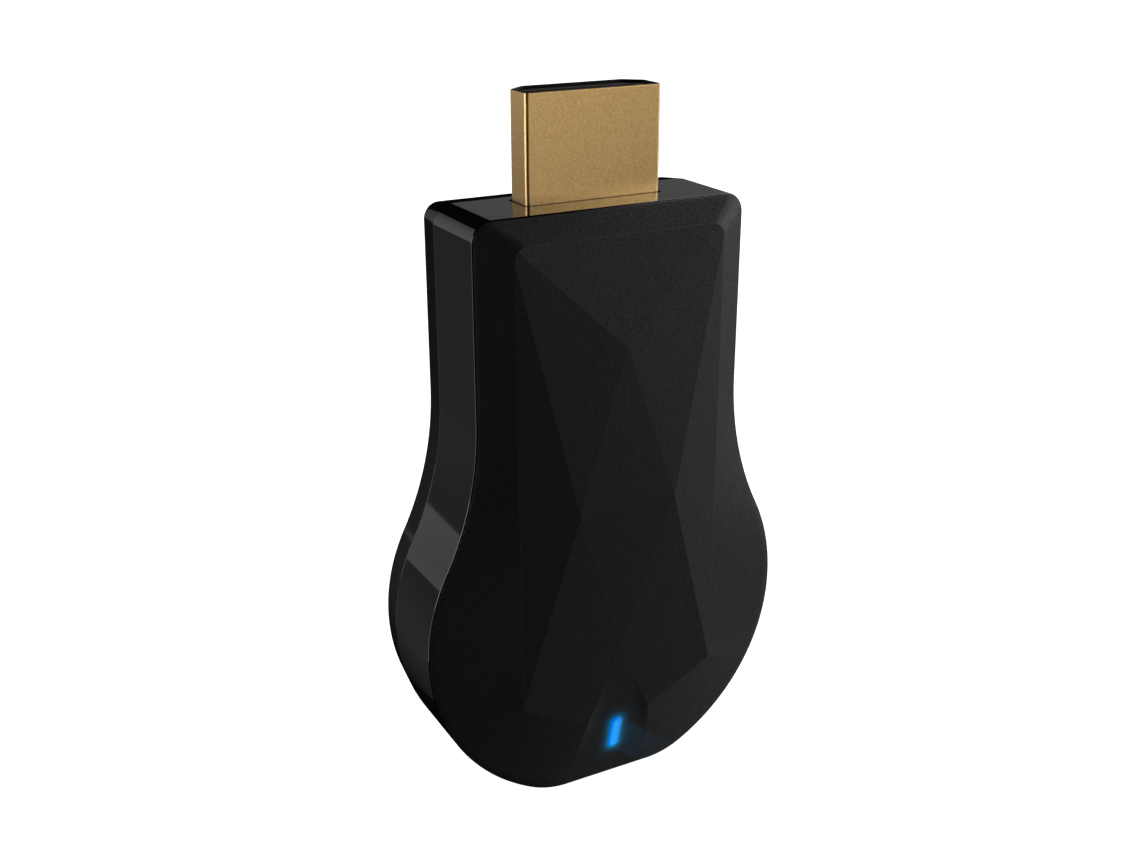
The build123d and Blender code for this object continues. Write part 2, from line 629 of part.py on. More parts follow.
# ---- button: slides along -X to press the switch ---------------------------------------
with BuildPart() as mode_button:
    with BuildSketch(Plane.YZ.offset(BULGE_ARC + BUTTON_PROUD)):
        with Locations((BUTTON_Y, BULGE_Z)):
            SlotOverall(*BUTTON_CAP, rotation=90)
    extrude(amount=FLANGE_X - BULGE_ARC - BUTTON_PROUD)
    fillet(mode_button.faces().sort_by(Axis.X)[-1].edges(), radius=RIM_RADIUS)
    with Locations((FLANGE_X, BUTTON_Y, BULGE_Z)):
        Box(*BUTTON_FLANGE, align=(Align.MAX, Align.CENTER, Align.CENTER))

PLUNGER_END_X = FLANGE_X - BUTTON_FLANGE[0]
SWITCH_FACE_X = SWITCH_X + SWITCH_BODY[0] / 2

with BuildPart() as switch_plunger:
    with Locations((PLUNGER_END_X, BUTTON_Y, BULGE_Z)):
        Box(*SWITCH_PLUNGER, align=(Align.MAX, Align.CENTER, Align.CENTER))

with BuildPart() as switch_body:
    with Locations((SWITCH_X, BOARD_FRONT, BULGE_Z)):
        Box(*SWITCH_BODY, align=FRONT_SEAT)
    with Locations((SWITCH_FACE_X, BUTTON_Y, BULGE_Z)):
        Box(SWITCH_POCKET, SWITCH_PLUNGER[1] + 2 * GAP, SWITCH_PLUNGER[2] + 2 * GAP,
            align=(Align.MAX, Align.CENTER, Align.CENTER), mode=Mode.SUBTRACT)

# ---- one file for each piece -----------------------------------------------------------
PIECES = {
    "front_cover": front_cover,
    "side_frame": side_frame,
    "back_cover": back_cover,
    "plug_shell": plug_shell,
    "plug_insulator": plug_insulator,
    "plug_contacts_front": plug_contacts_front,
    "plug_contacts_back": plug_contacts_back,
    "power_socket_shell": power_socket_shell,
    "power_socket_tongue": power_socket_tongue,
    "power_socket_contacts": power_socket_contacts,
    "circuit_board": circuit_board,
    "processor": processor,
    "thermal_pad": thermal_pad,
    "heat_spreader": heat_spreader,
    "memory_chip": memory_chip,
    "flash_chip": flash_chip,
    "radio_chip": radio_chip,
    "radio_shield": radio_shield,
    "antenna": antenna,
    "regulator": regulator,
    "inductors": inductors,
    "crystals": crystals,
    "capacitors": capacitors,
    "resistors": resistors,
    "status_led": status_led,
    "light_pipe": light_pipe,
    "mode_button": mode_button,
    "switch_plunger": switch_plunger,
    "switch_body": switch_body,
}

for name, piece in PIECES.items():
    piece.part.label = name
    export_step(piece.part, f"parts/{name}.step")
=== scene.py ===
# %% [markdown]
# # A plug-in streaming stick
# The real object is three plastic mouldings around a circuit board: a matte lid pressed into
# flat facets, a polished ring that is the side wall, and a polished back shell. A gold-plated
# video plug stands out of the top. The engineering model already holds every part at its real
# size, so this lesson only rebuilds the skins that are seen and gives each part its finish.

# %% Load the frame
import math
import bmesh
import bpy
import numpy as np
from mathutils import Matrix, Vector


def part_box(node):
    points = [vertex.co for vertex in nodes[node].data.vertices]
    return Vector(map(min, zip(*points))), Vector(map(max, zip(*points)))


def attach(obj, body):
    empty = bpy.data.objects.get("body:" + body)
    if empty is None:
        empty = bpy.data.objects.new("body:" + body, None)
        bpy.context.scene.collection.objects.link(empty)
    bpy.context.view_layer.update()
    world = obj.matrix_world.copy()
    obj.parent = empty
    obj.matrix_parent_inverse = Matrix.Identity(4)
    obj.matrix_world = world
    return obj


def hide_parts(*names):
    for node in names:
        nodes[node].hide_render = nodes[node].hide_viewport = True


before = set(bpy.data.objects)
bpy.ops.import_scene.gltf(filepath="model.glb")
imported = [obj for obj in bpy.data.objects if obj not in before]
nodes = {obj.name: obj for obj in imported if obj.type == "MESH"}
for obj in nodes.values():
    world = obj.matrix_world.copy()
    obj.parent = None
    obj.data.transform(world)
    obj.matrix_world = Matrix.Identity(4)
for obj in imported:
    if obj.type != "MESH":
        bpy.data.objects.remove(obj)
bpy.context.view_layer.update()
MM = 0.001
print("parts loaded:", len(nodes))

# %% [markdown]
# ## Sizes
# The outline of the body is straight at the neck, hollow in the flare and round at the lower
# end, and every stretch meets the next without a corner. A few radii are enough to draw it.
# What the loaded parts already say, such as where the lid sits, is read from their boxes.

# %% Driving sizes, in metres
FRONT_Y, PARTING_Y = (corner[1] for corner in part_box("side_frame"))
BACK_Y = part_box("back_cover")[1][1]
BOTTOM_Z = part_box("side_frame")[0][2]
BULGE_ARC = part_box("side_frame")[1][0]
NECK_HALF = 14.02 * MM
TOP_CORNER = 1.95 * MM
NECK_ARC = 31.2 * MM
BULGE_Z = -41.4 * MM
FOOT_HALF = 4.8 * MM
HIP_ANGLE = -26.0
WALL = 1.5 * MM
LIP = (1.55 * MM, 2.35 * MM, 1.2 * MM)
SHELL = 1.3 * MM
BACK_DRAFT = 0.44 * MM

bulge_drop = BULGE_Z - BOTTOM_Z
FOOT_ARC = (BULGE_ARC**2 - FOOT_HALF**2 - bulge_drop**2) / (2 * (BULGE_ARC - bulge_drop))
FOOT_CENTRE = (FOOT_HALF, BOTTOM_Z + FOOT_ARC)
FOOT_ANGLE = math.degrees(math.atan2(FOOT_CENTRE[1] - BULGE_Z, FOOT_HALF))
NECK_X = NECK_HALF + NECK_ARC
NECK_Z = BULGE_Z + math.sqrt((NECK_ARC + BULGE_ARC)**2 - NECK_X**2)
NECK_ANGLE = math.degrees(math.atan2(NECK_Z - BULGE_Z, NECK_X))
print(f"foot radius {FOOT_ARC / MM:.2f} mm, flare turns {NECK_ANGLE:.1f} degrees")

# %% [markdown]
# ## Curves
# A mould maker draws this outline from straight lines and arcs, so it is drawn the same way
# here. Each stretch always has the same number of points. A loop that lies further in has its
# points opposite those of the loop outside it, and the faces between two loops stay square.

# %% Curves as arrays of points
def straight(start, end, steps):
    """Points at even spacing: start + t * (end - start)."""
    t = np.linspace(0.0, 1.0, steps + 1)[:, None]
    return np.array(start) + t * (np.array(end) - np.array(start))


def arc(centre, radius, start, end, steps):
    """Points on a circle: centre + radius * (cos a, sin a), with a going from start to end."""
    a = np.radians(np.linspace(start, end, steps + 1))
    return np.array(centre) + radius * np.stack([np.cos(a), np.sin(a)], axis=1)


OUTLINE_STEPS = {
    "top": 20, "corner": 8, "side": 30, "neck": 36, "bulge": 60, "hip": 36, "foot": 16, "bottom": 10,
}
SMALLEST_CORNER = 0.3 * MM
SMALLEST_ROUND = 0.05 * MM


def outline(inset):
    """Closed loop of (x, z) round the body, every stretch moved inwards by `inset`.

    An arc that bulges out loses `inset` from its radius, and the hollow flare gains it.
    The right half runs from the top to the bottom, and its mirror image closes the loop.
    """
    steps = OUTLINE_STEPS
    corner = max(TOP_CORNER - inset, SMALLEST_CORNER)
    centre = (NECK_HALF - inset - corner, -inset - corner)
    bottom = BOTTOM_Z + inset
    stretches = [
        straight((0, -inset), (centre[0], -inset), steps["top"]),
        arc(centre, corner, 90, 45, steps["corner"]),
        arc(centre, corner, 45, 0, steps["corner"]),
        straight((NECK_HALF - inset, centre[1]), (NECK_HALF - inset, NECK_Z), steps["side"]),
        arc((NECK_X, NECK_Z), NECK_ARC + inset, 180, 180 + NECK_ANGLE, steps["neck"]),
        arc((0, BULGE_Z), BULGE_ARC - inset, NECK_ANGLE, HIP_ANGLE, steps["bulge"]),
        arc((0, BULGE_Z), BULGE_ARC - inset, HIP_ANGLE, FOOT_ANGLE, steps["hip"]),
        arc(FOOT_CENTRE, FOOT_ARC - inset, FOOT_ANGLE, -90, steps["foot"]),
        straight((FOOT_HALF, bottom), (0, bottom), steps["bottom"]),
    ]
    right = np.concatenate([points[:-1] for points in stretches] + [[(0.0, bottom)]])
    left = right[-2:0:-1] * (-1, 1)
    return np.concatenate([right, left])


def at_depth(loop, y):
    """Lift a loop of (x, z) into space at depth y."""
    return np.stack([loop[:, 0], np.full(len(loop), y), loop[:, 1]], axis=1)


def round_corners(corners, radius, steps, inset=0.0):
    """A convex outline, moved inwards by `inset`, with each corner turned into an arc.

    At a corner with inward normals m and n, the moved corner is corner + inset (m+n)/(1+m.n),
    and the arc's centre lies radius (m+n)/(1+m.n) further in.
    """
    points = np.array(corners, float)
    along = np.roll(points, -1, axis=0) - points
    along /= np.linalg.norm(along, axis=1)[:, None]
    after = np.stack([-along[:, 1], along[:, 0]], axis=1)
    before = np.roll(after, 1, axis=0)
    reach = (before + after) / (1 + np.sum(before * after, axis=1))[:, None]
    small = max(radius - inset, SMALLEST_ROUND)
    centres = points + reach * (inset + small)
    start = np.arctan2(-before[:, 1], -before[:, 0])
    across = before[:, 0] * after[:, 1] - before[:, 1] * after[:, 0]
    turn = np.arctan2(across, np.sum(before * after, axis=1))
    angle = start[:, None] + turn[:, None] * np.linspace(0, 1, steps + 1)
    ring = centres[:, None, :] + small * np.stack([np.cos(angle), np.sin(angle)], axis=2)
    return ring.reshape(-1, 2)


print("outline points:", len(outline(0.0)))

# %% [markdown]
# ## From loops to meshes
# Every moulding here is a stack of loops joined by four-sided faces, as a lofted solid is. The
# profile of its wall says how far in each loop lies and how deep, and small arcs in that
# profile give the edges their real radius, which is what catches the light.

# %% Mesh helpers
def make_piece(name, points, faces):
    """A mesh object at the origin with doubled points merged and every face turned outwards."""
    mesh = bpy.data.meshes.new(name)
    mesh.from_pydata(np.asarray(points).tolist(), [], faces)
    work = bmesh.new()
    work.from_mesh(mesh)
    bmesh.ops.remove_doubles(work, verts=work.verts, dist=1e-7)
    bmesh.ops.recalc_face_normals(work, faces=work.faces)
    work.to_mesh(mesh)
    work.free()
    piece = bpy.data.objects.new(name, mesh)
    bpy.context.scene.collection.objects.link(piece)
    return piece


def grid_faces(rows, columns, wrap_rows=False, wrap_columns=True, first=0):
    """Index quads of a grid of rows by columns, optionally closed on itself either way."""
    row = np.arange(rows if wrap_rows else rows - 1)
    column = np.arange(columns if wrap_columns else columns - 1)
    r, c = np.meshgrid(row, column, indexing="ij")
    r1 = (r + 1) % rows
    c1 = (c + 1) % columns
    quads = np.stack([r * columns + c, r * columns + c1, r1 * columns + c1, r1 * columns + c], axis=-1)
    return (quads.reshape(-1, 4) + first).tolist()


def loft(name, loops, ring=False):
    """A closed solid through a stack of loops: capped at both ends, or joined into a ring."""
    loops = np.asarray(loops)
    rows, columns = loops.shape[:2]
    faces = grid_faces(rows, columns, wrap_rows=ring)
    if not ring:
        faces.append(list(range(columns)))
        faces.append(list(range((rows - 1) * columns, rows * columns)))
    return make_piece(name, loops.reshape(-1, 3), faces)


def bend_profile(corners, radii, steps=6, closed=True):
    """A path through (inset, depth) corners with an arc of its own radius at each.

    An arc touches both legs r tan(turn/2) from its corner. It is the rational quadratic curve
    (1-t)^2 a + 2t(1-t) w b + t^2 c over the sum of its weights, exact for w = cos(turn/2).
    """
    points = np.array(corners, float)
    before = np.roll(points, 1, axis=0) - points
    after = np.roll(points, -1, axis=0) - points
    before /= np.linalg.norm(before, axis=1)[:, None]
    after /= np.linalg.norm(after, axis=1)[:, None]
    turn = np.pi - np.arccos(np.clip(np.sum(before * after, axis=1), -1, 1))
    reach = (np.array(radii, float) * np.tan(turn / 2))[:, None]
    weight = np.cos(turn / 2)[:, None, None]
    t = np.linspace(0, 1, steps + 1)[None, :, None]
    ends = (1 - t)**2 * (points + before * reach)[:, None] + t**2 * (points + after * reach)[:, None]
    middle = 2 * t * (1 - t) * weight
    path = (ends + middle * points[:, None]) / ((1 - t)**2 + middle + t**2)
    if not closed:
        path[0] = points[0]
        path[-1] = points[-1]
    return path.reshape(-1, 2)


def carve(piece, tool, operation="DIFFERENCE"):
    """Take the tool's volume out of the piece, or join it on, and throw the tool away."""
    knife = piece.modifiers.new("carve", "BOOLEAN")
    knife.object = tool
    knife.operation = operation
    knife.solver = "EXACT"
    bake_modifiers(piece)
    bpy.data.objects.remove(tool)


def bake_modifiers(piece):
    """Make the result of a piece's modifiers its own mesh."""
    bpy.context.view_layer.update()
    shaped = piece.evaluated_get(bpy.context.evaluated_depsgraph_get())
    mesh = bpy.data.meshes.new_from_object(shaped)
    piece.modifiers.clear()
    piece.data = mesh


def smooth(piece, sharp_degrees=40.0):
    """Smooth shading that leaves big flat faces flat and keeps edges above the angle sharp."""
    piece.data.shade_smooth()
    piece.data.set_sharp_from_angle(angle=math.radians(sharp_degrees))
    weigh = piece.modifiers.new("flat faces stay flat", "WEIGHTED_NORMAL")
    weigh.keep_sharp = True
    weigh.weight = 100


def stand_in(piece, node, body="body"):
    """Let a piece stand for a part: the part is hidden, and the piece moves with its body."""
    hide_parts(node)
    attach(piece, body)

# %% [markdown]
# ## Finishes
# Moulded plastic is never one flat colour. The lid comes from a spark-eroded mould, so it has
# a fine pebble grain. The ring and back are polished, and show faint flow marks and hairline
# handling scratches. Each finish below is one shader whose roughness, colour and bump read
# noise in the object's own space, so the grain has a true size in millimetres.

# %% Shader helpers
def new_finish(name, colour, roughness, **constants):
    """A material with one Principled shader; values that never vary are set on its sockets."""
    material = bpy.data.materials.new(name)
    material.use_nodes = True
    shader = material.node_tree.nodes["Principled BSDF"]
    shader.inputs["Base Color"].default_value = (*colour, 1.0)
    shader.inputs["Roughness"].default_value = roughness
    for socket, value in constants.items():
        shader.inputs[socket.replace("_", " ")].default_value = value
    return material


def place(material, stretch=(1.0, 1.0, 1.0)):
    """Object coordinates, stretched."""
    tree = material.node_tree
    coordinates = tree.nodes.new("ShaderNodeTexCoord")
    mapping = tree.nodes.new("ShaderNodeMapping")
    mapping.inputs["Scale"].default_value = stretch
    tree.links.new(coordinates.outputs["Object"], mapping.inputs["Vector"])
    return mapping.outputs["Vector"]


def noise(material, size, detail=4.0, stretch=(1.0, 1.0, 1.0), distortion=0.0):
    """Cloudy noise whose blotches are about `size` metres across."""
    node = material.node_tree.nodes.new("ShaderNodeTexNoise")
    node.inputs["Scale"].default_value = 1.0 / size
    node.inputs["Detail"].default_value = detail
    node.inputs["Distortion"].default_value = distortion
    material.node_tree.links.new(place(material, stretch), node.inputs["Vector"])
    return node.outputs["Fac"]


def cells(material, size):
    """Distance to the nearest cell centre, for pebbles about `size` metres across."""
    node = material.node_tree.nodes.new("ShaderNodeTexVoronoi")
    node.inputs["Scale"].default_value = 1.0 / size
    material.node_tree.links.new(place(material), node.inputs["Vector"])
    return node.outputs["Distance"]


def spread(material, source, low, high, start=0.3, end=0.7):
    """Map a pattern's middle range onto low..high."""
    node = material.node_tree.nodes.new("ShaderNodeMapRange")
    node.inputs["From Min"].default_value = start
    node.inputs["From Max"].default_value = end
    node.inputs["To Min"].default_value = low
    node.inputs["To Max"].default_value = high
    material.node_tree.links.new(source, node.inputs["Value"])
    return node.outputs["Result"]


def maths(material, operation, first, second=0.0):
    """One arithmetic step on a pattern, or between it and another pattern or a number."""
    node = material.node_tree.nodes.new("ShaderNodeMath")
    node.operation = operation
    for socket, value in zip(node.inputs, (first, second)):
        if isinstance(value, (int, float)):
            socket.default_value = value
        else:
            material.node_tree.links.new(value, socket)
    return node.outputs["Value"]


def blend_colours(material, factor, dark, light):
    """A colour between two, chosen by a pattern."""
    node = material.node_tree.nodes.new("ShaderNodeMix")
    node.data_type = "RGBA"
    colour_a, colour_b = (s for s in node.inputs if s.type == "RGBA")
    colour_a.default_value = (*dark, 1.0)
    colour_b.default_value = (*light, 1.0)
    material.node_tree.links.new(factor, node.inputs["Factor"])
    return next(s for s in node.outputs if s.type == "RGBA")


def feed(material, socket, source):
    """Lead a pattern into one of the shader's sockets."""
    shader = material.node_tree.nodes["Principled BSDF"]
    material.node_tree.links.new(source, shader.inputs[socket])


def relief(material, height, depth):
    """Bump whose full height is `depth` metres."""
    node = material.node_tree.nodes.new("ShaderNodeBump")
    node.inputs["Distance"].default_value = depth
    material.node_tree.links.new(height, node.inputs["Height"])
    feed(material, "Normal", node.outputs["Normal"])


def wear(node_or_piece, material):
    """Give a part one finish."""
    node_or_piece.data.materials.clear()
    node_or_piece.data.materials.append(material)

# %% [markdown]
# The lid's grain is a crowd of short wavy lines a fifth of a millimetre wide that lean to one
# side, with finer pebbles among them, and a slower unevenness keeps the sheen from looking
# printed. Its creases get a smoother and slightly paler copy of the same finish, a painted
# highlight along each crease.

# %% Lid finishes
LID_DARK = (0.0075, 0.0075, 0.008)
LID_LIGHT = (0.011, 0.011, 0.0115)
# The crease colours are paler than the lid's: a painted highlight along each crease.
CREASE_HIGHLIGHT_DARK = (0.016, 0.016, 0.016)
CREASE_HIGHLIGHT_LIGHT = (0.022, 0.022, 0.022)
PEBBLE = 0.22 * MM
GRAIN_LENGTH = 2.6
GRAIN_TILT = math.radians(53)


def grain_lines(material, size, longer, tilt):
    """Noise drawn out along one line in the lid's plane, `tilt` radians from upright."""
    tree = material.node_tree
    coordinates = tree.nodes.new("ShaderNodeTexCoord")
    mapping = tree.nodes.new("ShaderNodeMapping")
    mapping.vector_type = "TEXTURE"
    mapping.inputs["Rotation"].default_value = (0.0, tilt, 0.0)
    mapping.inputs["Scale"].default_value = (1.0, 1.0, longer)
    node = tree.nodes.new("ShaderNodeTexNoise")
    node.inputs["Scale"].default_value = 1.0 / size
    node.inputs["Detail"].default_value = 3.0
    node.inputs["Distortion"].default_value = 0.8
    tree.links.new(coordinates.outputs["Object"], mapping.inputs["Vector"])
    tree.links.new(mapping.outputs["Vector"], node.inputs["Vector"])
    return node.outputs["Fac"]


def lid_finish(name, dark, light, rough_low, rough_high, depth):
    """Matte plastic: wavy grain lines and fine pebbles for the bump, and cloudy roughness."""
    material = new_finish(name, dark, rough_low, Specular_IOR_Level=0.30)
    feed(material, "Base Color", blend_colours(material, noise(material, 3 * MM), dark, light))
    feed(material, "Roughness", spread(material, noise(material, 0.9 * MM), rough_low, rough_high))
    lines = grain_lines(material, PEBBLE, GRAIN_LENGTH, GRAIN_TILT)
    pebbles = maths(material, "MULTIPLY", cells(material, PEBBLE / 2), 0.4)
    relief(material, maths(material, "ADD", lines, pebbles), depth)
    return material


lid_matte = lid_finish("lid_matte_grain", LID_DARK, LID_LIGHT, 0.42, 0.50, 0.045 * MM)
# The crease finish is the lid finish made paler and smoother: a painted highlight on the rounded creases.
lid_crease_highlight = lid_finish("lid_crease_painted_highlight", CREASE_HIGHLIGHT_DARK, CREASE_HIGHLIGHT_LIGHT, 0.36, 0.42, 0.004 * MM)

# %% [markdown]
# The polished black of the ring and back is nearly a mirror. Flow marks from moulding are a
# very low, long wave, and the wear is a scatter of hairlines that only shows in a highlight.

# %% Polished black
def polished_black(name, rough_low=0.035, rough_high=0.075):
    """Piano-black plastic: low roughness with hairline scuffs, and a long shallow wave."""
    material = new_finish(name, (0.003, 0.003, 0.0033), rough_low, Specular_IOR_Level=0.5)
    scuffs = noise(material, 0.5 * MM, detail=8, stretch=(1.0, 1.0, 0.08), distortion=0.4)
    feed(material, "Roughness", spread(material, scuffs, rough_low, rough_high))
    clouds = noise(material, 6 * MM)
    feed(material, "Base Color", blend_colours(material, clouds, (0.0025,) * 3, (0.0045,) * 3))
    relief(material, noise(material, 14 * MM, detail=1), 0.01 * MM)
    return material


gloss_black = polished_black("polished_black")
button_black = polished_black("button_polished_black", 0.06, 0.12)

# %% [markdown]
# The plug's shell is folded steel with a gold-coloured plating over a micro-blasted surface.
# Blasting leaves a speckle of about a fifth of a millimetre, and the plating is a little warmer
# where it is thick. The contacts inside are the same metal without the blasting. The edge and
# inside of the plug's mouth are painted near-black, as painted shade.

# %% Metals
def plated(name, deep, pale, rough_low, rough_high, pit, depth, cloud=2.5 * MM, **constants):
    """Plated metal: blasted pits for the bump, with cloudy colour and roughness."""
    material = new_finish(name, deep, rough_low, Metallic=1.0, **constants)
    feed(material, "Base Color", blend_colours(material, noise(material, cloud, detail=6), deep, pale))
    feed(material, "Roughness", spread(material, noise(material, 0.4 * MM), rough_low, rough_high))
    relief(material, noise(material, pit, detail=5), depth)
    return material


plug_gold = plated(
    "plug_blasted_gold", (0.60, 0.30, 0.07), (1.0, 0.71, 0.31), 0.29, 0.36, 0.3 * MM, 0.004 * MM,
    cloud=0.18 * MM, Coat_Weight=0.6, Coat_Roughness=0.35)
# Near-black metal for the plug's mouth: painted shade inside it and on its top edge.
plug_mouth_shade = plated(
    "plug_mouth_painted_shade", (0.010,) * 3, (0.020,) * 3, 0.40, 0.55, 0.2 * MM, 0.003 * MM)
contact_gold = plated(
    "contact_bright_gold", (0.80, 0.56, 0.20), (0.90, 0.66, 0.28), 0.14, 0.24, 0.3 * MM, 0.002 * MM)
socket_steel = plated(
    "socket_plated_steel", (0.50, 0.50, 0.51), (0.62, 0.61, 0.60), 0.20, 0.32, 0.2 * MM, 0.003 * MM)

# %% [markdown]
# ## The lid
# Most of the lid is flat facets that meet in straight creases. Between the facets and the
# curved outline a band is ruled with straight lines, so it is flat across and follows the
# outline along. Only the chin, at the light, is rounded instead of creased.

# %% Facet corners
LID_INSET = 0.16 * MM
LID_STEP = 0.06 * MM
LID_EDGE_Y = FRONT_Y - LID_STEP
LID_TOP = (10.82 * MM, -7.48 * MM, -2.18 * MM)
LID_CORNER = 1.3 * MM
RIDGE_TOP = np.array((0.0, -8.755, -12.44)) * MM
WAIST = np.array((5.13, -9.16, -27.93)) * MM
RIDGE_LOW = np.array((0.0, -8.40, -43.39)) * MM
HIP = np.array((10.76, -7.84, -47.94)) * MM
CHIN = (3.5 * MM, -51.67 * MM)
CHIN_SOFTNESS = 6.0 * MM
HOLLOW_MARGIN = 1.2 * MM
MIRROR = np.array((-1.0, 1.0, 1.0))


def plane_y(p, q, r, x, z):
    """Depth at (x, z) of the plane through three points: p + ((r-p) x (q-p)) has no share."""
    n = np.cross(q - p, r - p)
    return p[1] - (n[0] * (x - p[0]) + n[2] * (z - p[2])) / n[1]


def facet_corners(sink, margin):
    """The named corners of the facets, pushed in by `sink` and drawn in by `margin`."""
    drop = np.array((0.0, sink, 0.0))
    half, top_y, top_z = LID_TOP[0] - margin, LID_TOP[1] + sink, LID_TOP[2] - margin
    corner = {"ridge_top": RIDGE_TOP + drop, "waist": WAIST + drop, "ridge_low": RIDGE_LOW + drop}
    corner["hip"] = HIP + drop - (margin, 0, 0)
    corner["top_end"] = np.array((half - LID_CORNER, top_y, top_z))
    corner["turn"] = (half - LID_CORNER, top_z - LID_CORNER)
    x, z = arc(corner["turn"], LID_CORNER, 45, 45, 1)[0]
    top_plane = (corner["ridge_top"], corner["top_end"], corner["top_end"] * MIRROR)
    corner["elbow"] = np.array((x, plane_y(*top_plane, x, z), z))
    low_plane = (corner["waist"], corner["ridge_low"], corner["hip"])
    corner["chin"] = np.array((CHIN[0], plane_y(*low_plane, *CHIN), CHIN[1]))
    return corner


def facet_edge(corner, rim):
    """The edge of the flat facets, one point for each point of the outline outside it.

    Along the top and round its corners the points are spaced as the outline's are. Down the
    side they keep the same share of the height, and from the hip the same share of the length.
    """
    steps = OUTLINE_STEPS
    top = straight((0, corner["top_end"][2]), corner["top_end"][[0, 2]], steps["top"])[:-1]
    upper = arc(corner["turn"], LID_CORNER, 90, 45, steps["corner"])[:-1]
    lower = arc(corner["turn"], LID_CORNER, 45, 0, steps["corner"])[:-1]
    top_plane = (corner["ridge_top"], corner["top_end"], corner["top_end"] * MIRROR)
    side_plane = (corner["ridge_top"], corner["elbow"], corner["waist"])
    last = arc(corner["turn"], LID_CORNER, 0, 0, 1)[0]
    side_top = np.array((last[0], plane_y(*side_plane, *last), last[1]))
    start = steps["top"] + 2 * steps["corner"]
    hip = start + steps["side"] + steps["neck"] + steps["bulge"]
    foot = hip + steps["hip"] + steps["foot"]
    end = foot + steps["bottom"]
    marks = {"elbow": steps["top"] + steps["corner"], "side": start, "hip": hip, "foot": foot}
    fall = (rim[start:hip, 1] - rim[start, 1]) / (rim[hip, 1] - rim[start, 1])
    side = side_top + fall[:, None] * (corner["hip"] - side_top)
    length = np.concatenate([[0], np.cumsum(np.linalg.norm(np.diff(rim[hip:foot + 1], axis=0), axis=1))])
    run = (length / length[-1])[:-1]
    hips = corner["hip"] + run[:, None] * (corner["chin"] - corner["hip"])
    share = (rim[foot:end + 1, 0] / rim[foot, 0])[:, None]
    chin = np.repeat(corner["chin"][None], len(share), axis=0)
    chin[:, 0] *= share[:, 0]
    right = np.concatenate([
        np.insert(top, 1, plane_y(*top_plane, top[:, 0], top[:, 1]), axis=1),
        np.insert(upper, 1, plane_y(*top_plane, upper[:, 0], upper[:, 1]), axis=1),
        np.insert(lower, 1, plane_y(*side_plane, lower[:, 0], lower[:, 1]), axis=1),
        side, hips, chin])
    left = right[-2:0:-1] * MIRROR
    return np.concatenate([right, left]), marks


def soften(points, chin_z, corner, rim_z):
    """Round the chin: near its line the surface sinks by turn/(4 reach) * (reach - distance)^2.

    That parabola touches both flat slopes at `reach` from the line. It fades to nothing at
    the chin's side creases as 1 - u^4, where u runs from -1 to 1 across the chin.
    """
    slope_up = (corner["chin"][1] - corner["ridge_low"][1]) / (corner["ridge_low"][2] - chin_z)
    slope_down = (LID_EDGE_Y - corner["chin"][1]) / (chin_z - rim_z)
    turn = slope_down - slope_up
    distance = np.minimum(np.abs(points[..., 2] - chin_z), CHIN_SOFTNESS)
    above = np.clip((corner["ridge_low"][2] - points[..., 2]) / (corner["ridge_low"][2] - chin_z), 1e-6, 1)
    below = np.clip((points[..., 2] - rim_z) / (chin_z - rim_z), 0, 1)
    half = np.where(points[..., 2] > chin_z, above * corner["chin"][0],
                    FOOT_HALF + below * (corner["chin"][0] - FOOT_HALF))
    u = np.clip(np.abs(points[..., 0]) / half, 0, 1)
    points[..., 1] += turn / (4 * CHIN_SOFTNESS) * (CHIN_SOFTNESS - distance)**2 * (1 - u**4)
    return points


BAND_ROWS = 10
CHIN_ROWS = 14


def facet_skin(inset, sink, margin):
    """Points, faces and a patch number per face for the whole faceted surface."""
    corner = facet_corners(sink, margin)
    rim = outline(inset)
    edge, mark = facet_edge(corner, rim)
    count = len(rim)
    t = np.linspace(0, 1, BAND_ROWS + 1)[:, None, None]
    band = at_depth(rim, LID_EDGE_Y) * (1 - t) + edge * t
    bottom = np.arange(mark["foot"], count - mark["foot"] + 1)
    band[:, bottom] = soften(band[:, bottom], CHIN[1], corner, BOTTOM_Z + inset)
    column = np.tile(np.arange(count), BAND_ROWS)
    mirrored = np.minimum(column, count - 1 - column)
    patch = np.where(mirrored >= mark["foot"], 3, np.where(mirrored >= mark["hip"], 2, 1))
    patch = np.where((patch == 2) & (column > count // 2), 4, patch)
    s = np.linspace(0, 1, CHIN_ROWS + 1)[:, None, None]
    tongue = corner["ridge_low"] * (1 - s) + edge[bottom] * s
    tongue = soften(tongue, CHIN[1], corner, BOTTOM_Z + inset)
    points = np.concatenate([band.reshape(-1, 3), tongue.reshape(-1, 3)])
    faces = grid_faces(BAND_ROWS + 1, count)
    first = band.shape[0] * count
    faces += grid_faces(CHIN_ROWS + 1, len(bottom), wrap_columns=False, first=first)
    patches = list(patch) + [3] * (CHIN_ROWS * (len(bottom) - 1))

    inner = BAND_ROWS * count
    right_seam = [first + k * len(bottom) for k in range(1, CHIN_ROWS)]
    elbow, side, hip, foot = (mark[k] for k in ("elbow", "side", "hip", "foot"))
    extra = np.array([corner[k] for k in ("ridge_top", "waist", "ridge_low")])
    extra = np.concatenate([extra, extra * MIRROR])
    top, waist, low, _, far_waist, _ = range(len(points), len(points) + 6)
    points = np.concatenate([points, extra])

    def flip(index):
        return inner + (count - (index - inner)) % count

    halves = [
        [top] + [inner + k for k in range(elbow, side + 1)] + [waist],
        [inner + k for k in range(side, hip + 1)] + [waist],
        [waist] + [inner + k for k in range(hip, foot + 1)] + right_seam[::-1] + [low],
    ]
    left_seam = [first + k * len(bottom) + len(bottom) - 1 for k in range(1, CHIN_ROWS)]
    swap = {waist: far_waist, top: top, low: low, **dict(zip(right_seam, left_seam))}
    others = [[swap.get(k, flip(k) if k < first else k) for k in face] for face in halves]
    around = [inner + k for k in range(-elbow, elbow + 1)]
    faces += halves + others
    faces.append([top] + [inner + (k - inner) % count for k in around])
    faces.append([top, waist, far_waist])
    faces.append([low, waist, far_waist])
    patches += [5, 6, 7, 8, 9, 10, 11, 12, 13]
    return points, faces, patches, rim


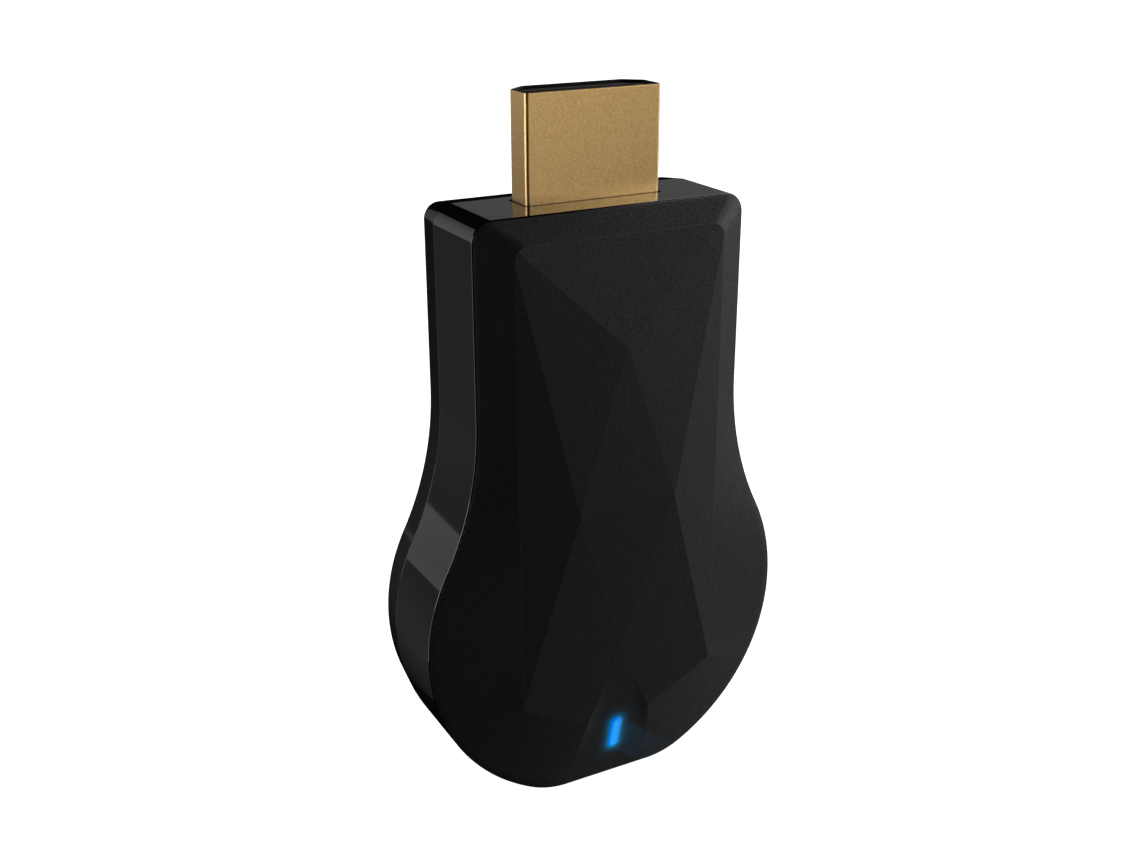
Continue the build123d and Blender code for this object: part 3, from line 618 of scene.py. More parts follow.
# %% [markdown]
# The outside, the upright edge, the lip and the hollow behind the facets are one closed skin,
# as they are one moulding. Every face carries the number of its patch, and only edges between
# two patches are rounded, so the flat facets stay flat.

# %% Build the lid
CREASE = 0.06 * MM


def build_lid():
    """Outer facets, upright edge, lip and hollow in one closed mesh, with rounded creases."""
    points, faces, patches, rim = facet_skin(LID_INSET, 0.0, 0.0)
    inner_points, inner_faces, inner_patches, _ = facet_skin(LIP[1], SHELL, HOLLOW_MARGIN)
    path = [(LID_INSET, LID_EDGE_Y), (LID_INSET, FRONT_Y), (LIP[0], FRONT_Y),
            (LIP[0], FRONT_Y + LIP[2]), (LIP[1], FRONT_Y + LIP[2]), (LIP[1], LID_EDGE_Y)]
    loops = np.stack([at_depth(outline(inset), y) for inset, y in path])
    start = len(points)
    faces = faces + [[k + start for k in face] for face in inner_faces]
    patches = patches + [k + 20 for k in inner_patches]
    points = np.concatenate([points, inner_points])
    faces += grid_faces(len(path), len(rim), first=len(points))
    patches += list(np.repeat(np.arange(40, 40 + len(path) - 1), len(rim)))
    points = np.concatenate([points, loops.reshape(-1, 3)])

    mesh = bpy.data.meshes.new("lid")
    mesh.from_pydata(points.tolist(), [], faces)
    mark = mesh.attributes.new("patch", "INT", "FACE")
    mark.data.foreach_set("value", np.array(patches, np.int32))
    work = bmesh.new()
    work.from_mesh(mesh)
    bmesh.ops.remove_doubles(work, verts=work.verts, dist=1e-7)
    bmesh.ops.recalc_face_normals(work, faces=work.faces)
    patch = work.faces.layers.int["patch"]
    weight = work.edges.layers.float.new("bevel_weight_edge")
    creases = [e for e in work.edges if len(e.link_faces) == 2
               and e.link_faces[0][patch] != e.link_faces[1][patch]]
    for edge in creases:
        edge[weight] = 1.0
    open_edges = sum(1 for e in work.edges if len(e.link_faces) != 2)
    work.to_mesh(mesh)
    work.free()
    print("lid creases:", len(creases), "open edges:", open_edges)
    lid = bpy.data.objects.new("lid", mesh)
    bpy.context.scene.collection.objects.link(lid)
    lid.data.materials.append(lid_matte)
    lid.data.materials.append(lid_crease_highlight)
    rounding = lid.modifiers.new("rounded creases", "BEVEL")
    rounding.limit_method = "WEIGHT"
    rounding.width = CREASE
    rounding.segments = 2
    rounding.use_clamp_overlap = False
    # The rounded crease faces take the second finish, the painted crease highlight.
    rounding.material = 1
    bake_modifiers(lid)
    return lid


lid = build_lid()
print("lid faces:", len(lid.data.polygons))

# %% [markdown]
# The lid also has a slot for the light pipe and four posts that press the board against the
# back shell's pins. The slot stands square to the chin, so it is drawn on the chin's own slope.

# %% Slot and posts
POSTS = [(side * x * MM, z * MM) for x, z in ((10.4, -9.0), (13.2, -50.0)) for side in (1, -1)]
POST_RADIUS = 1.3 * MM
PIN_RADIUS = 0.55 * MM
BOARD_HALF = 0.5 * MM
LIGHT = (1.3 * MM, 4.0 * MM)
LIGHT_Z = -54.2 * MM
GAP = 0.05 * MM

chin_corner = facet_corners(0.0, 0.0)["chin"]
chin_slope = (LID_EDGE_Y - chin_corner[1]) / (CHIN[1] - BOTTOM_Z)
chin_out = np.array((0.0, -1.0, -chin_slope)) / math.hypot(1.0, chin_slope)
chin_up = np.array((0.0, -chin_slope, 1.0)) / math.hypot(1.0, chin_slope)
light_centre = np.array((0.0, chin_corner[1] + chin_slope * (CHIN[1] - LIGHT_Z), LIGHT_Z))


def box_corners(half_u, half_v):
    """Corners of a rectangle, anticlockwise."""
    return [(-half_u, -half_v), (half_u, -half_v), (half_u, half_v), (-half_u, half_v)]


def on_chin(loop, depth):
    """Lift a loop of (across, up) onto the chin's slope, `depth` below its surface."""
    across = np.outer(loop[:, 0], (1, 0, 0))
    return light_centre + across + np.outer(loop[:, 1], chin_up) - depth * chin_out


def light_loop(grow, depth):
    """The light pipe's long round-ended outline, grown and sunk."""
    corners = box_corners(LIGHT[0] / 2, LIGHT[1] / 2)
    return on_chin(round_corners(corners, LIGHT[0] / 2, 12, -grow), depth)


def post(centre, radius, front, back):
    """A cylinder along Y between two depths."""
    circle = arc(centre, radius, 0, 360, 32)[:-1]
    return loft("post", [at_depth(circle, front), at_depth(circle, back)])


carve(lid, loft("slot", [light_loop(GAP, -SHELL), light_loop(GAP, 2 * SHELL)]))
for place_of_post in POSTS:
    carve(lid, post(place_of_post, POST_RADIUS, FRONT_Y - SHELL / 2, -BOARD_HALF), "UNION")
    carve(lid, post(place_of_post, PIN_RADIUS + GAP, -BOARD_HALF - LIP[2], 0.0))
smooth(lid)
stand_in(lid, "front_cover")
print("lid faces after carving:", len(lid.data.polygons))

# %% [markdown]
# ## The ring
# The side wall is one even section carried round the outline. Its front edge has a round of a
# sixth of a millimetre, which shows as a thread of light beside the lid. Three openings go
# through it, for the plug, the power socket and the button. The plug's is the widest, and
# shows as a dark line round its foot.

# %% Build the ring
RIM = 0.16 * MM
EASED = 0.06 * MM
PLUG = (13.9 * MM, 4.45 * MM, 0.81 * MM, 10.4 * MM)
PLUG_EDGE = 0.35 * MM
SOCKET = (7.4 * MM, 2.35 * MM, 0.75 * MM)
BUTTON = (1.6 * MM, 4.8 * MM)
BUTTON_Y = -1.9 * MM


def plug_corners():
    """The plug's section: wide at the front, with two slanted corners towards the back."""
    width, height, side_y, back_width = PLUG
    half, back = width / 2, back_width / 2
    return [(-half, -height / 2), (half, -height / 2), (half, side_y), (back, height / 2),
            (-back, height / 2), (-half, side_y)]


def at_height(loop, z):
    """Lift a loop of (x, y) to height z."""
    return np.stack([loop[:, 0], loop[:, 1], np.full(len(loop), z)], axis=1)


def plug_opening(grow):
    """A solid to cut the plug's way through a wall."""
    loop = round_corners(plug_corners(), PLUG_EDGE / 2, 4, -grow)
    return loft("plug_way", [at_height(loop, z) for z in (MM, -6 * MM)])


def socket_opening(grow):
    """A solid to cut the power socket's way through the wall."""
    loop = round_corners(box_corners(SOCKET[0] / 2, SOCKET[1] / 2), 0.25 * MM, 6, -grow)
    return loft("socket_way", [at_height(loop, z) for z in (BOTTOM_Z - MM, BOTTOM_Z + 2 * WALL)])


def button_loop(grow, x, corners=box_corners(BUTTON[0] / 2, BUTTON[1] / 2), radius=BUTTON[0] / 2):
    """A loop of (y, z) at a distance x from the middle, about the button's centre."""
    loop = round_corners(corners, radius, 12, -grow)
    return np.stack([np.full(len(loop), x), BUTTON_Y + loop[:, 0], BULGE_Z + loop[:, 1]], axis=1)


wall_path = bend_profile([(0, FRONT_Y), (WALL, FRONT_Y), (WALL, PARTING_Y), (0, PARTING_Y)],
                         [RIM, EASED, EASED, EASED])
side_wall = loft("side_wall", [at_depth(outline(inset), y) for inset, y in wall_path], ring=True)
carve(side_wall, plug_opening(5 * GAP))
carve(side_wall, socket_opening(2 * GAP))
button_way = [button_loop(2 * GAP, x) for x in (BULGE_ARC + MM, BULGE_ARC - 2 * WALL)]
carve(side_wall, loft("button_way", button_way))
wear(side_wall, gloss_black)
smooth(side_wall, 30)
stand_in(side_wall, "side_frame")
print("ring faces:", len(side_wall.data.polygons))

# %% [markdown]
# ## The back shell
# It is drafted so it leaves the mould, its rear edge is eased, and a lip goes up inside the
# ring to locate it. Four pins on its posts pass through the board into the lid's posts.

# %% Build the back shell
BACK_EDGE = 0.16 * MM
back_path = bend_profile(
    [(3 * MM, BACK_Y), (BACK_DRAFT, BACK_Y), (0, PARTING_Y), (LIP[0], PARTING_Y),
     (LIP[0], PARTING_Y - LIP[2]), (LIP[1], PARTING_Y - LIP[2]), (LIP[1], BACK_Y - SHELL),
     (4 * MM, BACK_Y - SHELL)],
    [0, BACK_EDGE, EASED, EASED, EASED, EASED, EASED, 0], closed=False)
back_shell = loft("back_shell", [at_depth(outline(inset), y) for inset, y in back_path])
for place_of_post in POSTS:
    carve(back_shell, post(place_of_post, POST_RADIUS, BOARD_HALF, BACK_Y - SHELL / 2), "UNION")
    carve(back_shell, post(place_of_post, PIN_RADIUS, -BOARD_HALF - LIP[2] / 2, BACK_Y - SHELL / 2), "UNION")
carve(back_shell, plug_opening(4 * GAP))
wear(back_shell, gloss_black)
smooth(back_shell, 30)
stand_in(back_shell, "back_cover")
print("back shell faces:", len(back_shell.data.polygons))

# %% [markdown]
# ## The plug
# One folded sheet of steel, a third of a millimetre thick, with rolled edges. The round of
# its long corners is what draws the bright and dark lines beside its broad face. The faces of
# its mouth are found by their normals: they look up, or in towards the plug's middle.
# They get painted shade.

# %% Build the plug shell
PLUG_SHEET = 0.3 * MM
PLUG_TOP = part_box("plug_shell")[1][2]
PLUG_FOOT = -6.0 * MM
TAB = (0.3 * MM, 0.8 * MM, 2.5 * MM)
LOOKS_UP = 0.75


def block(centre, size):
    """Eight corners and six faces of an upright box."""
    corners = np.array([(i, j, k) for i in (-0.5, 0.5) for j in (-0.5, 0.5) for k in (-0.5, 0.5)])
    faces = [[0, 1, 3, 2], [4, 6, 7, 5], [0, 4, 5, 1], [2, 3, 7, 6], [0, 2, 6, 4], [1, 5, 7, 3]]
    return np.array(centre) + corners * np.array(size), faces


def with_blocks(name, loops, blocks):
    """A lofted ring and some plain tabs in one mesh."""
    loops = np.asarray(loops)
    points = loops.reshape(-1, 3)
    faces = grid_faces(*loops.shape[:2], wrap_rows=True)
    for centre, size in blocks:
        corners, sides = block(centre, size)
        faces += [[k + len(points) for k in face] for face in sides]
        points = np.concatenate([points, corners])
    return make_piece(name, points, faces)


plug_path = bend_profile([(0, PLUG_FOOT), (0, PLUG_TOP), (PLUG_SHEET, PLUG_TOP), (PLUG_SHEET, PLUG_FOOT)],
                         [0.04 * MM, PLUG_SHEET / 2, 0.1 * MM, 0.04 * MM])
tab_x = (PLUG[0] - PLUG_SHEET) / 2
plug_tabs = [((side * tab_x, -BOARD_HALF - TAB[1] / 2, PLUG_FOOT - TAB[2] / 2), TAB) for side in (-1, 1)]
plug_loops = [at_height(round_corners(plug_corners(), PLUG_EDGE, 8, inset), z)
              for inset, z in plug_path]
plug_skin = with_blocks("plug_skin", plug_loops, plug_tabs)
wear(plug_skin, plug_gold)
plug_skin.data.materials.append(plug_mouth_shade)
centres = np.zeros((len(plug_skin.data.polygons), 3), dtype=np.float32)
normals = np.zeros_like(centres)
plug_skin.data.polygons.foreach_get("center", centres.ravel())
plug_skin.data.polygons.foreach_get("normal", normals.ravel())
# The faces inside the mouth and on its top edge take the painted shade.
inward = (centres[:, :2] * normals[:, :2]).sum(1) < -1e-6
mouth = (centres[:, 2] > 0) & (inward | (normals[:, 2] > LOOKS_UP))
plug_skin.data.polygons.foreach_set("material_index", mouth.astype(np.int32))
smooth(plug_skin, 35)
stand_in(plug_skin, "plug_shell")
print("plug faces:", len(plug_skin.data.polygons), "in its mouth:", int(mouth.sum()))

# %% [markdown]
# ## Power socket
# The socket's mouth is a thin steel sleeve, pressed from sheet like the plug's shell, with two
# pairs of ears that are soldered to the board. So it is made the same way as the plug.

# %% Build the socket sleeve
SOCKET_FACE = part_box("power_socket_shell")[0][2]
SOCKET_DEPTH = 5.3 * MM
SOCKET_SHEET = 0.25 * MM
EAR = (MM, 0.25 * MM, MM)
EAR_HEIGHTS = (-56.8 * MM, -54.9 * MM)

half, top, slope = SOCKET[0] / 2, SOCKET[1] / 2, SOCKET[2]
socket_corners = [(-half, -top), (half, -top), (half, top - slope), (half - slope, top),
                  (slope - half, top), (-half, top - slope)]
socket_back = SOCKET_FACE + SOCKET_DEPTH
socket_path = bend_profile(
    [(0, SOCKET_FACE), (0, socket_back), (SOCKET_SHEET, socket_back), (SOCKET_SHEET, SOCKET_FACE)],
    [0.1 * MM, 0.04 * MM, 0.04 * MM, 0.1 * MM])
ear_x = half + EAR[0] / 2 - SOCKET_SHEET
ears = [((side * ear_x, -BOARD_HALF - EAR[1] / 2, z), EAR) for side in (-1, 1) for z in EAR_HEIGHTS]
socket_loops = [at_height(round_corners(socket_corners, SOCKET_SHEET, 6, inset), z)
                for inset, z in socket_path]
socket_sleeve = with_blocks("socket_sleeve", socket_loops, ears)
wear(socket_sleeve, socket_steel)
smooth(socket_sleeve, 35)
stand_in(socket_sleeve, "power_socket_shell")
print("socket sleeve faces:", len(socket_sleeve.data.polygons))

# %% [markdown]
# ## Light pipe
# The light pipe is one clear moulding: a rounded head level with the chin, a flange behind the
# lid and a stem down to the diode. It is a stack of loops, square to the chin until the stem.

# %% Build the light pipe
HEAD_DEPTH = SHELL + GAP
FLANGE_GROW = 0.5 * MM
FLANGE_DEPTH = 0.5 * MM
STEM = (1.2 * MM, 1.8 * MM)
STEM_Z = -52.95 * MM
STEM_END_Y = -1.25 * MM
CROWN = 0.1 * MM

crown_turn = np.radians(np.linspace(90, 0, 7))
pipe_loops = [light_loop(CROWN * (math.cos(a) - 1) * 2, CROWN * (1 - math.sin(a))) for a in crown_turn]
pipe_loops += [light_loop(grow, depth) for grow, depth in (
    (0, HEAD_DEPTH), (FLANGE_GROW, HEAD_DEPTH), (FLANGE_GROW, HEAD_DEPTH + FLANGE_DEPTH))]
stem_loop = round_corners(box_corners(STEM[0] / 2, STEM[1] / 2), 0.1 * MM, 12) + (0, STEM_Z)
flange_back = light_centre - (HEAD_DEPTH + FLANGE_DEPTH) * chin_out
stem_start = flange_back[1] - chin_slope * (stem_loop[:, 1] - flange_back[2])
pipe_loops.append(np.stack([stem_loop[:, 0], stem_start, stem_loop[:, 1]], axis=1))
pipe_loops.append(at_depth(stem_loop, STEM_END_Y))
light_guide = loft("light_guide", pipe_loops)
smooth(light_guide, 35)
stand_in(light_guide, "light_pipe")
print("light pipe box:", np.round(np.array(light_guide.bound_box).min(0) / MM, 2))

# %% [markdown]
# ## Button
# The button has a flange too, so it can't fall out, and it slides inwards to press the switch.
# It rides on its own body, and its face has the same rounded edge as the ring.

# %% Build the button
FLANGE_X = 17.5 * MM
BUTTON_FLANGE = (0.6 * MM, 2.4 * MM, 6.4 * MM)
BUTTON_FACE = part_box("mode_button")[1][0]
flange_corners = box_corners(BUTTON_FLANGE[1] / 2, BUTTON_FLANGE[2] / 2)
key_loops = [button_loop(0, FLANGE_X - BUTTON_FLANGE[0], flange_corners, 0.3 * MM),
             button_loop(0, FLANGE_X, flange_corners, 0.3 * MM), button_loop(0, FLANGE_X)]
key_path = bend_profile([(0, FLANGE_X), (0, BUTTON_FACE), (MM, BUTTON_FACE)], [0, RIM, 0], closed=False)
rim_bend = len(key_path) // 3
key_loops += [button_loop(-inset, x) for inset, x in key_path[rim_bend:2 * rim_bend]]
key_cap = loft("key_cap", key_loops)
wear(key_cap, button_black)
smooth(key_cap, 35)
stand_in(key_cap, "mode_button", body="button")
print("button faces:", len(key_cap.data.polygons))

# %% [markdown]
# ## Light and halo
# The pipe is clear polycarbonate lit from below, so its head glows an even blue, a little
# deeper at its rim. On the real lid some of that light scatters in the first millimetre round
# the slot. Here that is painted glow on the lid, falling with distance, and a fainter painted
# band of glow is thrown to one side of the slot.

# %% Blue light
BLUE = (0.0, 0.52, 1.0)
SEGMENT = (LIGHT[1] - LIGHT[0]) / 2
# The halo and the band are glow painted on the lid round the light pipe.
HALO = 0.26
HALO_FALL = 0.30 * MM
PAINTED_BAND = 0.026
PAINTED_BAND_WAY = (0.76, -0.65)
PAINTED_BAND_FALL = 5 * MM
PAINTED_BAND_SOFT = 0.12 * MM
PIPE_RIM = 0.5 * MM


def away_from_light(material):
    """Distance in metres from the light's edge, measured in the lid's own plane of x and z."""
    tree = material.node_tree
    split = tree.nodes.new("ShaderNodeSeparateXYZ")
    tree.links.new(place(material), split.inputs["Vector"])
    up = maths(material, "ABSOLUTE", maths(material, "SUBTRACT", split.outputs["Z"], LIGHT_Z))
    over = maths(material, "MAXIMUM", maths(material, "SUBTRACT", up, SEGMENT), 0.0)
    across = maths(material, "POWER", maths(material, "ABSOLUTE", split.outputs["X"]), 2.0)
    reach = maths(material, "SQRT", maths(material, "ADD", across, maths(material, "POWER", over, 2.0)))
    return maths(material, "SUBTRACT", reach, LIGHT[0] / 2)


def painted_band(material, strength, fall):
    """Painted glow on the lid from one side of the slot: a band as wide as the light, down to the right.

    With (x, z) from the light's middle and (a, b) its way, the length is a x + b z and the width
    a z - b x. It fades as exp(-length / fall).
    """
    a, b = PAINTED_BAND_WAY
    split = material.node_tree.nodes.new("ShaderNodeSeparateXYZ")
    material.node_tree.links.new(place(material), split.inputs["Vector"])
    up = maths(material, "SUBTRACT", split.outputs["Z"], LIGHT_Z)
    over = split.outputs["X"]
    over_a, over_b = (maths(material, "MULTIPLY", over, part) for part in (a, b))
    up_a, up_b = (maths(material, "MULTIPLY", up, part) for part in (a, b))
    length = maths(material, "ADD", over_a, up_b)
    width = maths(material, "SUBTRACT", up_a, over_b)
    edge = a * SEGMENT + LIGHT[0] / 2
    off = maths(material, "ABSOLUTE", width)
    inside = spread(material, off, 1.0, 0.0, edge - PAINTED_BAND_SOFT, edge + PAINTED_BAND_SOFT)
    begun = spread(material, length, 0.0, strength, 0.0, LIGHT[0] / 2)
    fade = maths(material, "EXPONENT", maths(material, "DIVIDE", length, -fall))
    return maths(material, "MULTIPLY", maths(material, "MULTIPLY", inside, begun), fade)


def glow(material, strength, fall):
    """Painted glow on the lid: blue emission that falls as exp(-distance / fall), and the painted band on one
    side.
    """
    share = maths(material, "DIVIDE", away_from_light(material), -fall)
    halo = maths(material, "MULTIPLY", maths(material, "EXPONENT", share), strength)
    feed(material, "Emission Strength", maths(material, "ADD", halo, painted_band(material, PAINTED_BAND, PAINTED_BAND_FALL)))
    material.node_tree.nodes["Principled BSDF"].inputs["Emission Color"].default_value = (*BLUE, 1.0)


# Both lid finishes get the painted glow round the light.
for finish in (lid_matte, lid_crease_highlight):
    glow(finish, HALO, HALO_FALL)

pipe_light = new_finish("light_pipe_lit_blue", (0.0, 0.08, 0.3), 0.25, Specular_IOR_Level=0.4)
depth_in = maths(pipe_light, "MULTIPLY", away_from_light(pipe_light), -1 / PIPE_RIM)
pipe_glow = maths(pipe_light, "MINIMUM", depth_in, 1.0)
bright = blend_colours(pipe_light, pipe_glow, (0.0, 0.12, 0.55), (0.0, 0.35, 0.98))
feed(pipe_light, "Emission Color", bright)
feed(pipe_light, "Emission Strength", spread(pipe_light, noise(pipe_light, 1.5 * MM, detail=2), 0.92, 1.0))
wear(light_guide, pipe_light)

# %% [markdown]
# ## Inside
# Behind the skins the loaded parts keep their own shapes. The board is green solder mask over
# copper, so its tracks show as a paler green. Chips are grained epoxy, the spreader is brushed
# sheet, and the small capacitors and resistors have tinned ends.

# %% Inner finishes
def moulded(name, dark, light, low, high, grain=0.2 * MM, depth=0.006 * MM, **constants):
    """Moulded plastic, epoxy or rubber: cloudy colour, uneven sheen and a grained surface."""
    material = new_finish(name, dark, low, **constants)
    feed(material, "Base Color", blend_colours(material, noise(material, 1.2 * MM), dark, light))
    feed(material, "Roughness", spread(material, noise(material, 0.5 * MM), low, high))
    relief(material, noise(material, grain, detail=6), depth)
    return material


def brushed(name, dark, light, stretch, low=0.22, high=0.36):
    """Rolled or brushed sheet: the same noise, drawn out along one direction."""
    material = new_finish(name, dark, low, Metallic=1.0)
    lines = noise(material, 0.15 * MM, detail=6, stretch=stretch)
    feed(material, "Base Color", blend_colours(material, lines, dark, light))
    feed(material, "Roughness", spread(material, lines, low, high))
    relief(material, lines, 0.002 * MM)
    return material


def solder_mask():
    """Green mask; tracks are the thin walls between square cells, and the mask is paler there."""
    material = new_finish("board_solder_mask", (0.008, 0.05, 0.022), 0.3, Specular_IOR_Level=0.5)
    node = material.node_tree.nodes.new("ShaderNodeTexVoronoi")
    node.distance = "MANHATTAN"
    node.feature = "F1"
    node.inputs["Scale"].default_value = 1.0 / (1.6 * MM)
    material.node_tree.links.new(place(material, (1.0, 0.05, 1.0)), node.inputs["Vector"])
    tracks = maths(material, "PINGPONG", maths(material, "MULTIPLY", node.outputs["Distance"], 6.0), 1.0)
    track = spread(material, tracks, 0.0, 1.0, 0.45, 0.60)
    feed(material, "Base Color", blend_colours(material, track, (0.007, 0.042, 0.018), (0.016, 0.10, 0.04)))
    feed(material, "Roughness", spread(material, noise(material, 0.8 * MM), 0.24, 0.36))
    relief(material, track, 0.02 * MM)
    return material


def tinned_ends(name, body_dark, body_light, shifted_side):
    """Small parts in rows two millimetres apart: within 0.2 mm of each end the body is tinned.

    One side's row is shifted by half a pitch, so x moves by 1 mm where sign(y) says so.
    """
    material = moulded(name, body_dark, body_light, 0.30, 0.42, 0.12 * MM, 0.003 * MM)
    tree = material.node_tree
    split = tree.nodes.new("ShaderNodeSeparateXYZ")
    tree.links.new(place(material), split.inputs["Vector"])
    side = maths(material, "GREATER_THAN", maths(material, "MULTIPLY", split.outputs["Y"], shifted_side), 0.0)
    moved = maths(material, "ADD", split.outputs["X"], maths(material, "MULTIPLY", side, MM))
    off_centre = maths(material, "PINGPONG", moved, MM)
    end = maths(material, "GREATER_THAN", off_centre, 0.29 * MM)
    feed(material, "Metallic", end)
    mottle = blend_colours(material, noise(material, 0.6 * MM), body_dark, body_light)
    tin = tree.nodes.new("ShaderNodeMix")
    tin.data_type = "RGBA"
    tree.links.new(end, tin.inputs["Factor"])
    body_socket, tin_socket = (s for s in tin.inputs if s.type == "RGBA")
    tree.links.new(mottle, body_socket)
    tin_socket.default_value = (0.62, 0.61, 0.58, 1.0)
    feed(material, "Base Color", next(s for s in tin.outputs if s.type == "RGBA"))
    return material


black_plastic = moulded("insulator_black", (0.007,) * 3, (0.013,) * 3, 0.45, 0.6)
steel = brushed("steel_tinned_sheet", (0.46, 0.46, 0.47), (0.62, 0.62, 0.62), (1.0, 1.0, 0.06))
chip_epoxy = moulded("chip_epoxy", (0.018,) * 3, (0.032,) * 3, 0.5, 0.68, 0.1 * MM, 0.01 * MM)
pad_silicone = moulded("pad_silicone", (0.30, 0.34, 0.42), (0.40, 0.43, 0.50), 0.6, 0.75, 0.4 * MM, 0.02 * MM)
aluminium = brushed("spreader_brushed", (0.66, 0.66, 0.68), (0.80, 0.80, 0.81), (0.05, 1.0, 1.0), 0.24, 0.38)
ferrite = moulded(
    "ferrite_pressed", (0.035, 0.035, 0.038), (0.065, 0.063, 0.062), 0.55, 0.75, 0.25 * MM, 0.02 * MM)
capacitor_body = tinned_ends("capacitor_ceramic", (0.30, 0.19, 0.10), (0.38, 0.25, 0.14), 1.0)
resistor_body = tinned_ends("resistor_film", (0.012, 0.012, 0.014), (0.02, 0.02, 0.024), -1.0)
led_lens = moulded("led_lens", (0.45, 0.62, 0.80), (0.60, 0.75, 0.90), 0.15, 0.25, 0.3 * MM, 0.004 * MM)
led_lens.node_tree.nodes["Principled BSDF"].inputs["Emission Color"].default_value = (*BLUE, 1.0)
led_lens.node_tree.nodes["Principled BSDF"].inputs["Emission Strength"].default_value = 1.5
switch_black = moulded("switch_housing", (0.03,) * 3, (0.05,) * 3, 0.42, 0.55)
plunger_nylon = moulded(
    "plunger_nylon", (0.62, 0.60, 0.54), (0.72, 0.70, 0.64), 0.35, 0.5, Subsurface_Weight=0.1)
board_mask = solder_mask()

FINISHES = {
    "front_cover": lid_matte, "side_frame": gloss_black, "back_cover": gloss_black,
    "plug_shell": plug_gold, "plug_insulator": black_plastic, "plug_contacts_front": contact_gold,
    "plug_contacts_back": contact_gold, "power_socket_shell": socket_steel,
    "power_socket_tongue": black_plastic, "power_socket_contacts": contact_gold,
    "radio_shield": steel, "antenna": steel, "crystals": steel, "circuit_board": board_mask,
    "processor": chip_epoxy, "memory_chip": chip_epoxy, "flash_chip": chip_epoxy,
    "radio_chip": chip_epoxy, "regulator": chip_epoxy, "thermal_pad": pad_silicone,
    "heat_spreader": aluminium, "inductors": ferrite, "capacitors": capacitor_body,
    "resistors": resistor_body, "status_led": led_lens, "light_pipe": pipe_light,
    "mode_button": button_black, "switch_plunger": plunger_nylon, "switch_body": switch_black,
}
for part, finish in FINISHES.items():
    wear(nodes[part], finish)
print("parts with a finish:", len(FINISHES), "of", len(nodes))

# %% [markdown]
# ## Camera
# The camera looks down a little from the front left, from a hand's breadth away, so the far
# side of the stick looks a little smaller than the near one.

# %% Camera
AZIMUTH = math.radians(-28.591)
ELEVATION = math.radians(21.188)
lens = bpy.data.cameras.new("camera")
camera = bpy.data.objects.new("camera", lens)
bpy.context.scene.collection.objects.link(camera)
camera.location = (-61.575 * MM, -110.506 * MM, 25.919 * MM)
camera.rotation_euler = (math.pi / 2 - ELEVATION, 0.0, AZIMUTH)
lens.lens = 43.44
lens.sensor_width = 36.0
lens.clip_start = 0.005
bpy.context.scene.camera = camera
print("camera at", [round(v / MM, 1) for v in camera.location], "mm")

# %% [markdown]
# ## Ground
# A plain pale ground and a pale surround. The surround is white where the camera sees it and
# nearly black to every other ray, as a studio is behind its panels.

# %% Ground and surroundings
FLOOR_HALF = 3.0
floor = bpy.data.objects.new("floor", bpy.data.meshes.new("floor"))
floor_loop = box_corners(FLOOR_HALF, FLOOR_HALF)
floor.data.from_pydata([(x, y, BOTTOM_Z) for x, y in floor_loop], [], [(0, 1, 2, 3)])
bpy.context.scene.collection.objects.link(floor)
paper = new_finish("floor_paper", (0.9,) * 3, 0.9, Emission_Strength=1.0)
paper.node_tree.nodes["Principled BSDF"].inputs["Emission Color"].default_value = (1, 1, 1, 1)
feed(paper, "Roughness", spread(paper, noise(paper, 2 * MM), 0.85, 0.95))
wear(floor, paper)
floor.visible_glossy = False
floor.visible_diffuse = False
floor.visible_shadow = False

world = bpy.data.worlds.new("surroundings")
bpy.context.scene.world = world
world.use_nodes = True
sky = world.node_tree
dim = sky.nodes["Background"]
dim.inputs["Color"].default_value = (0.002, 0.002, 0.002, 1)
white = sky.nodes.new("ShaderNodeBackground")
white.inputs["Color"].default_value = (1, 1, 1, 1)
seen = sky.nodes.new("ShaderNodeLightPath")
either = sky.nodes.new("ShaderNodeMixShader")
sky.links.new(seen.outputs["Is Camera Ray"], either.inputs["Fac"])
sky.links.new(dim.outputs["Background"], either.inputs[1])
sky.links.new(white.outputs["Background"], either.inputs[2])
sky.links.new(either.outputs["Shader"], sky.nodes["World Output"].inputs["Surface"])
bpy.context.scene.view_settings.view_transform = "Standard"

# %% [markdown]
# ## Lights
# Polished black only shows what it reflects, so the panels' places decide where the ring is
# bright and where it stays black. Two graded panels behind the stick draw its left wall, a
# small one its top, and the rest of them light the facets from the left, right and front.

# %% Soft panels
PANEL_DISTANCE = 1.0
AIM = Vector((0.0, 0.0, -30 * MM))


def panel(name, azimuth, elevation, wide, high, radiance, colour=(1.0, 1.0, 1.0)):
    """A soft panel that fills wide by high degrees seen from the object.

    Azimuth turns from the back (+Y) towards +X, and elevation is above the ground. A panel of
    power P and area A shines with a radiance of P / (4 A), so its power follows from both.
    """
    a, e = math.radians(azimuth), math.radians(elevation)
    way = Vector((math.sin(a) * math.cos(e), math.cos(a) * math.cos(e), math.sin(e)))
    data = bpy.data.lights.new(name, "AREA")
    data.shape = "RECTANGLE"
    data.size = 2 * PANEL_DISTANCE * math.tan(math.radians(wide) / 2)
    data.size_y = 2 * PANEL_DISTANCE * math.tan(math.radians(high) / 2)
    data.energy = 4 * radiance * data.size * data.size_y
    data.color = colour
    light = bpy.data.objects.new(name, data)
    light.location = AIM + way * PANEL_DISTANCE
    light.rotation_euler = way.to_track_quat("Z", "Y").to_euler()
    light.visible_camera = False
    bpy.context.scene.collection.objects.link(light)
    return data


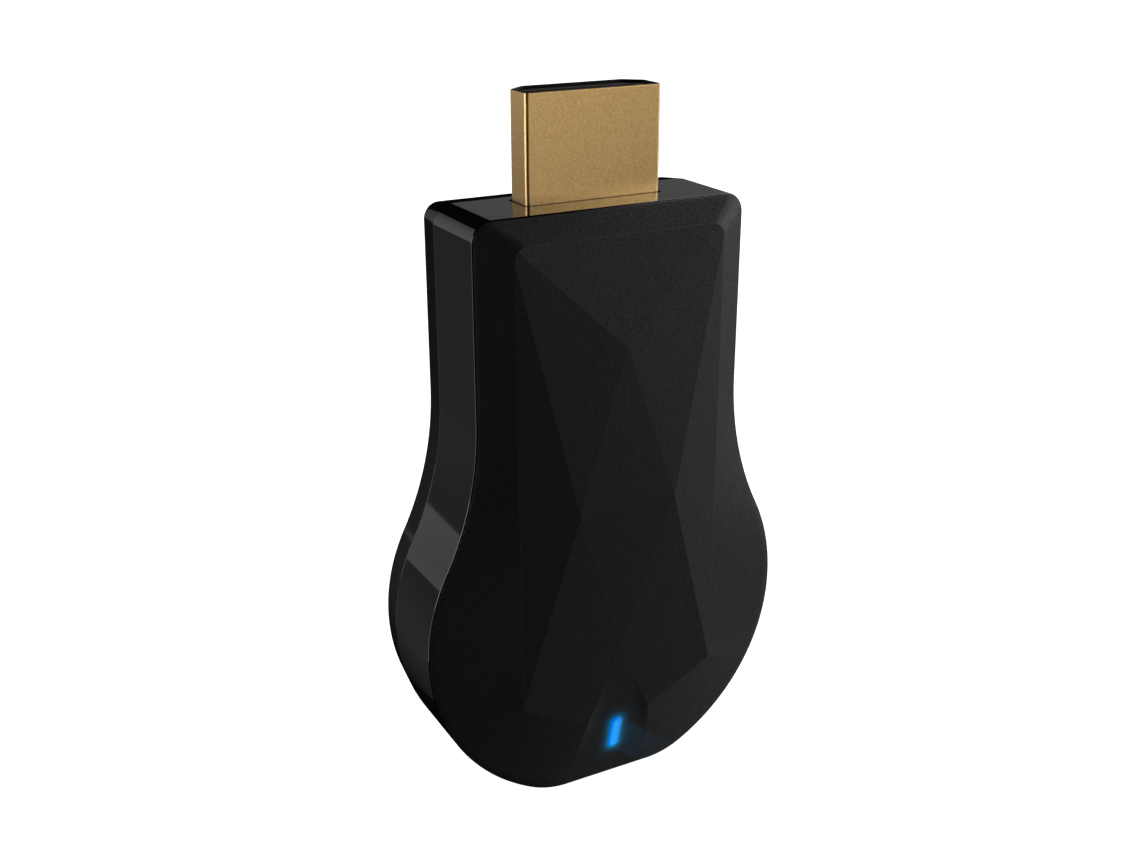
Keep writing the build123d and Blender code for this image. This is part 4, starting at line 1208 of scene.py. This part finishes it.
def grade(data, stops):
    """Let a panel's brightness change from its right edge to its left, by (place, share) stops."""
    data.use_nodes = True
    tree = data.node_tree
    across = tree.nodes.new("ShaderNodeNewGeometry")
    split = tree.nodes.new("ShaderNodeSeparateXYZ")
    ramp = tree.nodes.new("ShaderNodeValToRGB")
    tree.links.new(across.outputs["Parametric"], split.inputs["Vector"])
    tree.links.new(split.outputs["X"], ramp.inputs["Fac"])
    for k, (at, share) in enumerate(stops):
        stop = ramp.color_ramp.elements[k] if k < 2 else ramp.color_ramp.elements.new(at)
        stop.position = at
        stop.color = (share, share, share, 1)
    tree.links.new(ramp.outputs["Color"], tree.nodes["Emission"].inputs["Strength"])


back_left = panel("back_left", -25.5, 8.5, 39, 29, 0.46)
grade(back_left, [(0.0, 0.28), (1.0, 0.85), (0.28, 0.38), (0.44, 0.75), (0.56, 1.0)])
back_low = panel("back_left_low", -21.5, -23, 47, 34, 0.102)
grade(back_low, [(0.0, 0.03), (1.0, 0.9), (0.22, 0.10), (0.43, 0.42), (0.53, 0.72), (0.65, 1.0)])
panel("back_right_low", 31, 10.5, 20, 14, 0.14)
panel("left_back", -68, -5, 30, 50, 1.7, (0.95, 1.0, 1.05))
panel("left_high", -90, 10, 30, 30, 2.5)
panel("right_back_high", 60, 40, 30, 30, 2.0)
panel("right_high", 90, 40, 30, 30, 1.0)
panel("right_level", 90, 10, 30, 30, 1.6)
panel("right_low", 90, -20, 30, 30, 0.37)
panel("right_below", 90, -50, 50, 30, 0.24)
panel("right_front_high", 118, 15, 25, 20, 2.2)
panel("right_front_level", 118, -5, 25, 20, 0.88)
panel("right_front_low", 118, -25, 25, 20, 0.34)
panel("front_right_high", 140, 15, 18, 20, 2.6)
panel("front_right_low", 140, -25, 18, 20, 0.11)
panel("front_right_below", 140, -50, 50, 30, 0.10)
panel("front_side_level", 158, -5, 18, 20, 0.60)
panel("front_level", 180, -5, 26, 20, 0.15)
panel("front_low", 180, -25, 26, 20, 0.094)
panel("front_below", -170, -50, 50, 30, 0.037)
